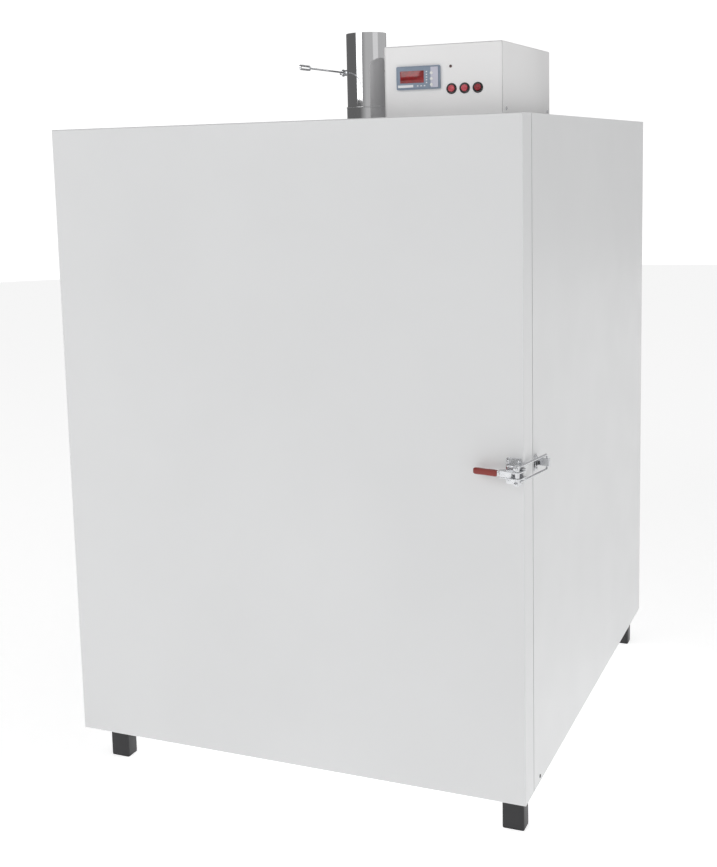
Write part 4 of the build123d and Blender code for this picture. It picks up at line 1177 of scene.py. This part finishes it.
@dataclass
class ToggleLatch:
    """Toggle latch. Plan places are taken from the door's right edge and its front face.

    A span is two distances from the middle height, and a half holds half sizes.
    """

    middle: float = 833 * MM
    pivot: Flat = (2 * MM, -18 * MM)
    trunnion: Flat = (-4.2 * MM, -38 * MM)
    bail_end: Flat = (22 * MM, 100 * MM)
    lean: float = math.radians(11)
    sheet: float = 2.5 * MM
    base_low: float = -38 * MM
    base_high: float = -5 * MM
    base_half: float = 28 * MM
    base_corner: float = 4 * MM
    base_screw: float = 4 * MM
    base_screw_places: Flat = (11 * MM, 19 * MM)
    pivot_boss: float = 7 * MM
    ear_span: Flat = (8.5 * MM, 11 * MM)
    pin: float = 3 * MM
    pin_head: float = 4.5 * MM
    pin_crown: float = 3.2 * MM
    pin_head_side: float = 1 * MM
    pin_head_height: float = 1.8 * MM
    cheek_span: Flat = (5.5 * MM, 8 * MM)
    trunnion_boss: float = 8.5 * MM
    neck: Flat = (16 * MM, 36 * MM)
    neck_round: float = 5 * MM
    stem_middle: float = 65.5 * MM
    stem_half: Flat = (31.5 * MM, 2.5 * MM)
    stem_corner: float = 2 * MM
    stem_edge: float = 1.2 * MM
    grip_start: float = 45 * MM
    grip_end: float = 100 * MM
    grip_half: Flat = (5 * MM, 7 * MM)
    grip_corner: float = 3.6 * MM
    rod: float = 2.5 * MM
    rod_spread: float = 16 * MM
    rod_bend: float = 6 * MM
    rod_past_trunnion: float = 14 * MM
    thread_length: float = 34 * MM
    thread_depth: float = 0.22 * MM
    thread_half_pitch: float = 0.45 * MM
    bar: float = 5 * MM
    bar_half: float = 21 * MM
    bar_rim: float = 0.8 * MM
    nut_corner: float = 4.6 * MM
    nut_height: float = 4 * MM
    nut_starts: Flat = (5 * MM, -9 * MM)
    keeper_gap: float = 0.45 * MM
    keeper_half: float = 8.5 * MM
    keeper_run: float = 24 * MM
    keeper_bend: float = 0.1 * MM
    keeper_corner: float = 0.5 * MM
    hook: float = 7 * MM
    hook_lip: float = 3 * MM
    foot_half: Flat = (10.75 * MM, 17 * MM)
    foot_back: float = 13.25 * MM
    foot_corner: float = 3 * MM
    foot_screw: float = 3.6 * MM
    foot_screw_place: float = 12.5 * MM
    edge: float = 0.4 * MM
    plate_edge: float = 0.35 * MM

    def origin(self) -> Vector:
        """Corner of the door's front and right side, at the latch's height."""
        low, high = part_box("door_skin")
        return Vector((high[0], low[1], self.middle))

    def plan(self) -> Matrix:
        """Matrix from the plan and the height to the frame."""
        return Up.Z.place(self.origin())

    def plates(self, draft: Draft, outline: list[Flat], span: Flat) -> None:
        """Draw two equal plates, above and below the middle.

        Args:
            draft: The draft that gets them.
            outline: Their outline.
            span: Where they start and end, from the middle.
        """
        inner, outer = span
        for low, high in ((inner, outer), (-outer, -inner)):
            draft.prism(outline, low, high, self.plan(), self.plate_edge)

    def along_handle(self, distance: float) -> Flat:
        """Point on the handle's middle line, at a distance from the trunnion."""
        return (self.trunnion[0] - distance * math.cos(self.lean),
                self.trunnion[1] + distance * math.sin(self.lean))

    def base(self) -> None:
        """Base plate with its ears."""
        centre = (self.base_low + self.base_high) / 2
        half = (self.base_high - self.base_low) / 2
        corner = self.origin()
        draft = Draft()
        draft.prism(rounded_box(half, self.base_half, self.base_corner, (centre, 0)), -self.sheet, 0,
                    Up.Y.place(corner), self.edge)
        root = self.sheet / 2
        ear = hull_of([(self.base_low + root, -root, root), (self.base_high - root, -root, root),
                       (*self.pivot, self.pivot_boss)])
        self.plates(draft, ear, self.ear_span)
        draft.release("latch_base_plate", ZINC, "door", "latch_base")
        screws = Draft()
        across, up = self.base_screw_places
        for su in (-1, 1):
            for sw in (-1, 1):
                spot = corner + Vector((centre + su * across, -self.sheet, sw * up))
                Fasteners.place(screws, spot, (0, -1, 0), self.base_screw, su + 0.7 * sw)
        screws.release("latch_screws", ZINC, "door")

    def pivot_pin(self) -> None:
        """Pin through the ears, with a domed head at both ends."""
        rest = self.ear_span[1]
        crown = rest + self.pin_head_height
        upper = [(self.pin, rest), (self.pin_head, rest), (self.pin_head, rest + self.pin_head_side),
                 (self.pin_crown, crown), (0.0, crown)]
        place = Up.Z.place(self.origin() + Vector((*self.pivot, 0)))
        Draft().lathe(mirrored(upper), place, 32).release("latch_pin", GROUND, "door", "latch_pivot_pin")

    def handle(self) -> None:
        """Cheeks, neck and stem, with the grip on it."""
        draft = Draft()
        thick = self.cheek_span[0]
        start, end = ((*self.along_handle(distance), self.neck_round) for distance in self.neck)
        cheek = hull_of([(*self.pivot, self.pivot_boss), (*self.trunnion, self.trunnion_boss), end])
        self.plates(draft, cheek, self.cheek_span)
        draft.prism(hull_of([start, end]), -thick, thick, self.plan())
        turned = self.plan() @ Matrix.Translation((*self.trunnion, 0)) @ Matrix.Rotation(-self.lean, 4, "Z")
        stem = rounded_box(*self.stem_half, self.stem_corner, (-self.stem_middle, 0))
        draft.prism(stem, -thick, thick, turned, self.stem_edge, 3)
        draft.release("latch_lever", ZINC, "handle", "latch_handle")
        self.grip(turned)

    def grip(self, place: Matrix) -> None:
        """Dipped grip, swollen near both ends.

        Args:
            place: Matrix from the handle's middle line to the frame.
        """
        sections = [(0.0, 0.78), (0.03, 0.92), (0.12, 1.0), (0.5, 0.94), (0.85, 1.0), (0.95, 0.93),
                    (0.985, 0.75), (1.0, 0.45)]
        length = self.grip_end - self.grip_start
        half_u, half_v = self.grip_half
        rings = []
        for share, size in sections:
            along = -(self.grip_start + share * length)
            outline = rounded_box(half_u * size, half_v * size, self.grip_corner * size)
            rings.append([place @ Vector((along, u, v)) for u, v in outline])
        Draft().loft(rings).release("red_grip", GRIP_RED, "handle", "latch_grip")

    def bail_way(self) -> Vector:
        """Unit vector from the trunnion to the bail's closed end."""
        return Vector((*(end - start for start, end in zip(self.trunnion, self.bail_end)), 0)).normalized()

    def rod_radius(self, travelled: float, length: float) -> float:
        """Radius of the bail's rod, which has a thread near both ends.

        Args:
            travelled: Distance from the rod's start.
            length: The whole rod's length.

        Returns:
            The radius there.
        """
        if min(travelled, length - travelled) > self.thread_length:
            return self.rod
        wave = math.cos(math.pi * travelled / self.thread_half_pitch)
        return self.rod - self.thread_depth * (0.5 + 0.5 * wave)

    def bail(self) -> None:
        """Bent rod with threaded ends, its nuts and the trunnion."""
        way = self.bail_way()
        corner = self.origin()
        pin = corner + Vector((*self.trunnion, 0))
        far = corner + Vector((*self.bail_end, 0))
        up = Vector((0, 0, self.rod_spread))
        free = pin - way * self.rod_past_trunnion
        bent = rounded_path([free + up, far + up, far - up, free - up], self.rod_bend)
        path = divided(bent, self.thread_half_pitch)
        length = sum((b - a).length for a, b in zip(path, path[1:]))
        rod = Draft().pipe(path, lambda travelled: self.rod_radius(travelled, length), 12)
        rod.release("bent_bail", ZINC, "bail", "latch_bail")
        upper = [(self.bar, self.bar_half - self.bar_rim), (self.bar - self.bar_rim, self.bar_half),
                 (0.0, self.bar_half)]
        bar = Draft().lathe(mirrored(upper), Up.Z.place(pin), 32)
        bar.release("trunnion_bar", ZINC, "bail", "bail_trunnion")
        nuts = Draft()
        aim = way.to_track_quat("Z", "Y").to_matrix().to_4x4()
        for sign in (-1, 1):
            for start in self.nut_starts:
                place = Matrix.Translation(pin + up * sign + way * start) @ aim
                nuts.prism(ring_of(self.nut_corner, 6), 0.0, self.nut_height, place, self.edge)
        nuts.release("bail_nut_set", ZINC, "bail", "bail_nuts")

    def keeper(self) -> None:
        """Bent strip on the side wall, behind which the bail hooks."""
        way = self.bail_way()
        thick = self.sheet
        seat = Vector((*self.bail_end, 0)) - way * (self.rod + self.keeper_gap + thick / 2)
        cross = Vector((way.y, -way.x, 0))
        root = Vector((thick / 2, seat.y + (seat.x - thick / 2) / way.y * way.x, 0))
        tip = seat + cross * self.hook
        lip = tip + way * self.hook_lip
        corners = [root - Vector((0, self.keeper_run, 0)), root, tip, lip]
        path = rounded_path(corners, thick / 2 + self.keeper_bend, 5)
        corner = self.origin()
        section = rounded_box(thick / 2, self.keeper_half, self.keeper_corner)
        rings = []
        for i, point in enumerate(path):
            ahead = (path[min(i + 1, len(path) - 1)] - path[max(i - 1, 0)]).normalized()
            side = Vector((-ahead.y, ahead.x, 0))
            rings.append([corner + point + side * u + Vector((0, 0, v)) for u, v in section])
        draft = Draft().loft(rings)
        foot_middle = root.y - self.foot_back
        foot = rounded_box(*self.foot_half, self.foot_corner, (foot_middle, 0))
        draft.prism(foot, 0, thick, Up.X.place(corner), self.edge)
        for sw in (-1, 1):
            spot = corner + Vector((thick, foot_middle, sw * self.foot_screw_place))
            Fasteners.place(draft, spot, (1, 0, 0), self.foot_screw, 0.5 * sw)
        draft.release("keeper_strip", ZINC, "cabinet", "latch_catch")

    def build(self) -> None:
        """Draw the whole latch."""
        self.base()
        self.pivot_pin()
        self.handle()
        self.bail()
        self.keeper()


@dataclass
class Exhaust:
    """Polished tube on its collar, with the damper."""

    radius: float = 44.5 * MM
    wall: float = 1.2 * MM
    fit: float = 0.05 * MM
    shaft: float = 4 * MM
    collar: float = 46.05 * MM
    collar_top: float = 31 * MM
    rim: float = 1.2 * MM
    flange: float = 62.05 * MM
    flange_sheet: float = 1.5 * MM
    flange_edge: float = 0.6 * MM
    root: Flat = (1.8 * MM, 1.9 * MM)

    def axis(self) -> Vector:
        """Find the tube's middle line, which the damper's shaft crosses.

        Returns:
            The tube's centre at the roof's height.
        """
        low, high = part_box("exhaust_tube")
        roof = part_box("top_panel")[1][2]
        return Vector(((low[0] + high[0]) / 2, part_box("damper_shaft")[0][1] + self.shaft, roof))

    def build(self) -> None:
        """Draw the tube and the collar, and dress the damper."""
        place = Up.Z.place(self.axis())
        tube = Draft().lathe(self.tube_wall(), place, 128, closed=True)
        tube.release("flue_tube", POLISHED, "cabinet", "exhaust_tube")
        collar = Draft().lathe(self.collar_wall(), place, 128, closed=True)
        collar.release("flue_collar", POLISHED, "cabinet", "exhaust_collar")
        dress(STAINLESS, "damper_plate")
        dress(GROUND, "damper_shaft")
        dress(ZINC, "damper_lever")

    def tube_wall(self) -> list[Flat]:
        """Closed profile of the tube's wall, with a round upper lip.

        Returns:
            Radius and height of each point, from the roof.
        """
        low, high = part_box("exhaust_tube")
        roof = self.axis().z
        top, bottom = high[2] - roof, low[2] - roof
        inner = self.radius - self.wall
        lip = self.wall / 2
        round_lip = [(self.radius - lip + lip * math.cos(a), top - lip + lip * math.sin(a))
                     for a in (0.5, 1.0, math.pi / 2, 2.1, 2.6)]
        return [(self.radius, bottom), (self.radius, top - lip), *round_lip, (inner, top - lip),
                (inner, bottom)]

    def collar_wall(self) -> list[Flat]:
        """Closed profile of the collar, with its flange on the roof and a rolled rim.

        Returns:
            Radius and height of each point, from the roof.
        """
        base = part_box("exhaust_collar")[0][2] - self.axis().z
        bore = self.radius + self.fit
        sheet, edge = self.flange_sheet, self.flange_edge
        root_out, root_up = self.root
        foot = [(bore, base), (self.collar, base), (self.collar, 0.0), (self.flange, 0.0),
                (self.flange, sheet - edge), (self.flange - edge, sheet), (self.collar + root_out, sheet),
                (self.collar, sheet + root_up)]
        rolled = [(self.collar + self.rim * math.sin(a), self.collar_top - self.rim - self.rim * math.cos(a))
                  for a in (0.0, 0.6, 1.2, 1.8, 2.4, 3.0)]
        return foot + rolled + [(bore, self.collar_top)]


@dataclass
class Meter:
    """Panel controller. Places on its face are taken from the face's middle.

    A span is two distances from the frontmost plane of the case, a half holds half sizes.
    """

    bezel_half: Flat = (48 * MM, 24 * MM)
    bezel_corner: float = 2.5 * MM
    bezel_start: float = 1.6 * MM
    bezel_edge: float = 0.7 * MM
    face_half: Flat = (45.5 * MM, 21.5 * MM)
    face_corner: float = 2 * MM
    face_span: Flat = (0.3 * MM, 2 * MM)
    face_edge: float = 0.5 * MM
    case_inset: float = 4 * MM
    case_edge: float = 0.6 * MM
    pane_span: Flat = (-0.1 * MM, 0.6 * MM)
    pane_edge: float = 0.4 * MM
    strip_half: Flat = (8.2 * MM, 21 * MM)
    strip_corner: float = 1.5 * MM
    strip_place: Flat = (36.6 * MM, 0.0)
    label_half: Flat = (17 * MM, 2.6 * MM)
    label_corner: float = 0.4 * MM
    label_place: Flat = (-27 * MM, -17 * MM)
    label_span: Flat = (0.1 * MM, 0.3 * MM)
    mark_corner: float = 0.3 * MM
    mark_span: Flat = (0.1 * MM, 0.35 * MM)
    column_half: Flat = (1.5 * MM, 1.1 * MM)
    column_place: Flat = (19.5 * MM, 11.5 * MM)
    column_pitch: float = 5.6 * MM
    column_count: int = 5
    row_half: Flat = (1.7 * MM, 1.2 * MM)
    row_height: float = -17 * MM
    row_pitch: float = 7.5 * MM
    row_count: int = 3

    def build(self) -> None:
        """Draw the case, its window, the bare marks and the keys."""
        low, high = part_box("controller_case")
        front = low[1]
        place = Up.Y.place(((low[0] + high[0]) / 2, front, (low[2] + high[2]) / 2))
        self.case(place)
        window_low, window_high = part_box("controller_window")
        near, far = self.pane_span
        pane = Draft().block((window_low[0], front + near, window_low[2]),
                             (window_high[0], front + far, window_high[2]), self.pane_edge)
        pane.release("meter_pane", WINDOW_RED, "cabinet", "controller_window")
        strip = Draft().prism(rounded_box(*self.strip_half, self.strip_corner, self.strip_place),
                              *self.mark_span, place)
        strip.release("meter_strip", METER_STRIP, "cabinet")
        self.marks(place)
        for number in (1, 2, 3):
            self.key(number)

    def case(self, place: Matrix) -> None:
        """Case behind the plate, bezel and raised face.

        Args:
            place: Matrix from the face to the frame.
        """
        low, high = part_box("controller_case")
        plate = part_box("control_box_chassis")[0][1]
        inset = self.case_inset
        draft = Draft()
        draft.prism(rounded_box(*self.bezel_half, self.bezel_corner), self.bezel_start, plate - low[1],
                    place, self.bezel_edge)
        draft.prism(rounded_box(*self.face_half, self.face_corner), *self.face_span, place, self.face_edge)
        draft.block((low[0] + inset, plate, low[2] + inset), (high[0] - inset, high[1], high[2] - inset),
                    self.case_edge)
        draft.release("meter_housing", METER_GREY, "cabinet", "controller_case")

    def marks(self, place: Matrix) -> None:
        """Bare label field, a column of marks beside the window and a row below it.

        Args:
            place: Matrix from the face to the frame.
        """
        draft = Draft()
        draft.prism(rounded_box(*self.label_half, self.label_corner, self.label_place), *self.label_span,
                    place)
        across, top = self.column_place
        spots = [(self.column_half, (across, top - i * self.column_pitch)) for i in range(self.column_count)]
        spots += [(self.row_half, (i * self.row_pitch, self.row_height)) for i in range(self.row_count)]
        for half, spot in spots:
            draft.prism(rounded_box(*half, self.mark_corner, spot), *self.mark_span, place)
        draft.release("meter_marks", METER_MARK, "cabinet")

    def key(self, number: int) -> None:
        """Domed round key.

        Args:
            number: Which key.
        """
        node = f"controller_key_{number}"
        low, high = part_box(node)
        radius = (high[0] - low[0]) / 2
        place = Up.Y.place(((low[0] + high[0]) / 2, 0, (low[2] + high[2]) / 2))
        profile = [(0.0, high[1]), (radius, high[1]), (radius, low[1] + 0.6 * MM),
                   (radius * 0.9, low[1] + 0.2 * MM), (radius * 0.6, low[1]), (0.0, low[1])]
        Draft().lathe(profile, place, 32).release(f"meter_key_{number}", KEY_WHITE, f"key_{number}", node)


@dataclass
class RoofBox:
    """Control box with its lamp and switches."""

    corner: float = 3 * MM
    seam: float = 0.6 * MM
    sheet: float = 1.2 * MM
    edge: float = 0.3 * MM
    plate_corner: float = 2 * MM
    screw: float = 3.6 * MM
    screw_from_end: float = 22 * MM
    screw_up: float = 12 * MM
    switch_bore: float = 7.8 * MM
    switch_body: float = 9.9 * MM
    switch_pocket: float = 9 * MM
    lamp_barrel: float = 2 * MM
    lamp_ring: float = 3 * MM

    def build(self) -> None:
        """Draw the housing and everything on it."""
        self.housing()
        Meter().build()
        self.switches()
        self.lamp()
        dress(CREAM, "terminal_block")
        dress(FINNED, "heater_relay")
        dress(BLACK_PLASTIC, "cable_gland")

    def plate(self) -> float:
        """Depth of the front plate's outer face."""
        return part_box("control_box_chassis")[0][1]

    def housing(self) -> None:
        """Cover with round bends, and the tray with the front and rear plates that sit inside it."""
        low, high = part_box("control_box_cover")
        half = (high[0] - low[0]) / 2
        sheet, edge = self.sheet, self.edge
        outer = self.bend(half, high[2], low[2], self.corner)
        inner = self.bend(half - sheet, high[2] - sheet, low[2], self.corner - sheet)
        place = Up.Y.place(((low[0] + high[0]) / 2, 0, 0))
        cover = Draft().prism(outer + inner[::-1], low[1], high[1], place, edge)
        cover.release("box_lid", BOX_WHITE, "cabinet", "control_box_cover")
        tray_low, tray_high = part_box("control_box_chassis")
        inside = rounded_box(half - sheet - self.seam, (tray_high[2] - tray_low[2]) / 2, self.plate_corner,
                             (0, (tray_low[2] + tray_high[2]) / 2))
        tray = Draft()
        tray.prism(inside, low[1], low[1] + sheet, place, edge)
        tray.prism(inside, high[1] - sheet, high[1], place, edge)
        tray.block(tray_low, (tray_high[0], tray_high[1], tray_low[2] + sheet), edge)
        tray.release("box_tray", BOX_WHITE, "cabinet", "control_box_chassis")
        screws = Draft()
        for y in (low[1] + self.screw_from_end, high[1] - self.screw_from_end):
            for x, way in ((low[0], -1), (high[0], 1)):
                Fasteners.place(screws, (x, y, tray_low[2] + self.screw_up), (way, 0, 0), self.screw, y)
        screws.release("box_screws", ZINC, "cabinet")

    @staticmethod
    def bend(half: float, top: float, bottom: float, radius: float) -> list[Flat]:
        """Outline of an upturned U with round bends.

        Args:
            half: Half its width.
            top: Its top.
            bottom: Its open end.
            radius: Radius of the bends.

        Returns:
            The outline, from the left foot to the right one.
        """
        turns = [math.pi - i * math.pi / 12 for i in range(7)]
        left = [(-half + radius + radius * math.cos(a), top - radius + radius * math.sin(a)) for a in turns]
        right = [(-u, v) for u, v in reversed(left)]
        return [(-half, bottom)] + left + right + [(half, bottom)]

    def switches(self) -> None:
        """Round switch rings, and the lenses that rock in them."""
        low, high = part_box("switch_housings")
        plate, bore = self.plate(), self.switch_bore
        radius = (high[2] - low[2]) / 2
        ring = [(bore, plate), (radius, plate), (radius, plate - 0.7 * MM),
                (radius * 0.96, plate - 1.5 * MM), (radius * 0.88, plate - 2.1 * MM),
                (radius * 0.8, plate - 2.2 * MM), (bore + 0.2 * MM, plate - 1.8 * MM),
                (bore, plate - 1.4 * MM)]
        pocket = plate + self.switch_pocket
        body = [(bore, plate), (self.switch_body, plate), (self.switch_body, high[1]), (0.0, high[1]),
                (0.0, pocket), (bore, pocket)]
        draft = Draft()
        for number, finish in enumerate((ROCKER_RED, ROCKER_RED, ROCKER_DARK), start=1):
            node = f"switch_rocker_{number}"
            rocker_low, rocker_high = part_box(node)
            place = Up.Y.place(((rocker_low[0] + rocker_high[0]) / 2, 0, (low[2] + high[2]) / 2))
            draft.lathe(ring, place, 48, closed=True)
            draft.lathe(body, place, 32)
            dress(finish, node)
        draft.release("switch_rings", SWITCH_BLACK, "cabinet", "switch_housings")

    def lamp(self) -> None:
        """Small lens in a thin ring."""
        low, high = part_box("pilot_lamp")
        plate, barrel, ring = self.plate(), self.lamp_barrel, self.lamp_ring
        place = Up.Y.place(((low[0] + high[0]) / 2, 0, (low[2] + high[2]) / 2))
        profile = [(0.0, high[1]), (barrel, high[1]), (barrel, plate), (ring, plate),
                   (ring, plate - 0.6 * MM), (2.6 * MM, plate - 1 * MM), (barrel, plate - 1 * MM),
                   (1.9 * MM, plate - 2 * MM), (1.3 * MM, plate - 2.8 * MM), (0.5 * MM, low[1]),
                   (0.0, low[1])]
        Draft().lathe(profile, place, 32).release("pilot_lens_piece", LAMP_RED, "cabinet", "pilot_lamp")


@dataclass
class Chamber:
    """Everything behind the door."""

    def build(self) -> None:
        """Dress the inner pieces."""
        dress(STAINLESS, "chamber_liner", "shelf_uprights", "shelf_runners", "shelf_lower", "shelf_middle",
              "shelf_upper", "air_baffle", "temperature_probe")
        dress(SHEATH, "heater_elements")
        dress(GALVANISED, "fan_impeller")
        dress(GROUND, "fan_shaft")
        dress(MOTOR_COAT, "fan_motor")


# Studio

@dataclass(frozen=True)
class SoftBox:
    """A large square light."""

    name: str
    spot: tuple[float, float, float]
    size: float
    power: float

    def light(self, target: Vector) -> None:
        """Hang the light so that it faces a point.

        Args:
            target: The point.
        """
        data = bpy.data.lights.new(self.name, "AREA")
        data.size = self.size
        data.energy = self.power
        light = bpy.data.objects.new(self.name, data)
        light.location = self.spot
        light.rotation_euler = (target - Vector(self.spot)).to_track_quat("-Z", "Y").to_euler()
        bpy.context.scene.collection.objects.link(light)


@dataclass
class Studio:
    """Floor, light and camera.

    The picture's centre and focal length are in its pixels. The surround's two strengths are those on the
    left and on the right, and its turn says between which sideways directions the one becomes the other.
    """

    picture: tuple[int, int] = (717, 867)
    centre: Flat = (335.0, 345.0)
    focal: float = 1294.0
    sensor: float = 36.0
    body_middle: Flat = (-0.00544, 0.06036)
    eye: tuple[float, float, float] = (1.252, -3.208, 1.480)
    yaw: float = math.radians(-23.72)
    pitch: float = math.radians(-8.23)
    roll: float = math.radians(-1.47)
    floor_radius: float = 14.0
    floor_colour: Colour = (0.86, 0.86, 0.86, 1.0)
    floor_glow: float = 0.6
    backdrop: float = 1.1
    surround: Flat = (0.16, 0.56)
    surround_turn: Flat = (-0.35, 0.3)
    light_target: tuple[float, float, float] = (0.0, -0.2, 0.9)
    soft_boxes: tuple[SoftBox, ...] = (SoftBox("front_softbox", (-1.6, -4.6, 3.4), 3.0, 62.0),
                                       SoftBox("right_softbox", (4.4, -1.4, 3.0), 2.6, 6.0))

    def build(self) -> None:
        """Set the scene."""
        self.floor()
        self.world()
        for soft_box in self.soft_boxes:
            soft_box.light(Vector(self.light_target))
        self.camera()
        bpy.context.scene.view_settings.view_transform = "Standard"

    def floor(self) -> None:
        """Pale floor, wide enough to be the backdrop as well."""
        mesh = bpy.data.meshes.new("studio_floor")
        draft = bmesh.new()
        bmesh.ops.create_circle(draft, cap_ends=True, segments=96, radius=self.floor_radius)
        draft.to_mesh(mesh)
        draft.free()
        floor = bpy.data.objects.new("studio_floor", mesh)
        bpy.context.scene.collection.objects.link(floor)
        material = bpy.data.materials.new("pale_floor")
        material.use_nodes = True
        shader = material.node_tree.nodes["Principled BSDF"].inputs
        shader["Base Color"].default_value = self.floor_colour
        shader["Roughness"].default_value = 0.9
        shader["Specular IOR Level"].default_value = 0.0
        shader["Emission Color"].default_value = (1.0, 1.0, 1.0, 1.0)
        shader["Emission Strength"].default_value = self.floor_glow
        mesh.materials.append(material)

    def world(self) -> None:
        """Surround for the polished metal, darker to the left of the object. The camera sees it white."""
        world = bpy.data.worlds.new("studio_surround")
        world.use_nodes = True
        bpy.context.scene.world = world
        net = Net(world.node_tree)
        net.tree.nodes.clear()
        direction = net.add("ShaderNodeTexCoord").outputs["Generated"]
        across = net.add("ShaderNodeSeparateXYZ", {0: direction}).outputs["X"]
        level = net.spread(across, *self.surround, *self.surround_turn)
        camera_ray = net.add("ShaderNodeLightPath").outputs["Is Camera Ray"]
        strength = net.add("ShaderNodeMix", {0: camera_ray, 2: level, 3: self.backdrop}).outputs[0]
        background = net.add("ShaderNodeBackground", {"Color": (1.0, 1.0, 1.0, 1.0), "Strength": strength})
        net.add("ShaderNodeOutputWorld", {"Surface": background.outputs[0]})

    def camera(self) -> None:
        """Camera at the photograph's viewpoint."""
        width, height = self.picture
        ahead = Vector((math.sin(self.yaw) * math.cos(self.pitch), math.cos(self.yaw) * math.cos(self.pitch),
                        math.sin(self.pitch)))
        level = Vector((math.cos(self.yaw), -math.sin(self.yaw), 0.0))
        upright = level.cross(ahead)
        right = level * math.cos(self.roll) + upright * math.sin(self.roll)
        up = upright * math.cos(self.roll) - level * math.sin(self.roll)
        data = bpy.data.cameras.new("viewpoint")
        data.sensor_width = self.sensor
        data.lens = self.focal / height * self.sensor
        data.shift_x = (width / 2 - self.centre[0]) / height
        data.shift_y = (self.centre[1] - height / 2) / height
        camera = bpy.data.objects.new("viewpoint", data)
        eye = Vector(self.eye) + Vector((*self.body_middle, 0.0))
        camera.matrix_world = Matrix.Translation(eye) @ Matrix((right, up, -ahead)).transposed().to_4x4()
        bpy.context.scene.collection.objects.link(camera)
        bpy.context.scene.camera = camera


def main() -> None:
    """Build every sub-assembly and the studio."""
    logging.basicConfig(level=logging.INFO, format="%(name)s: %(message)s")
    for part in (CabinetBody(), Door(), Hinges(), ToggleLatch(), Exhaust(), RoofBox(), Chamber(), Studio()):
        LOG.info("building %s", type(part).__name__)
        part.build()


if __name__ == "__main__":
    main()
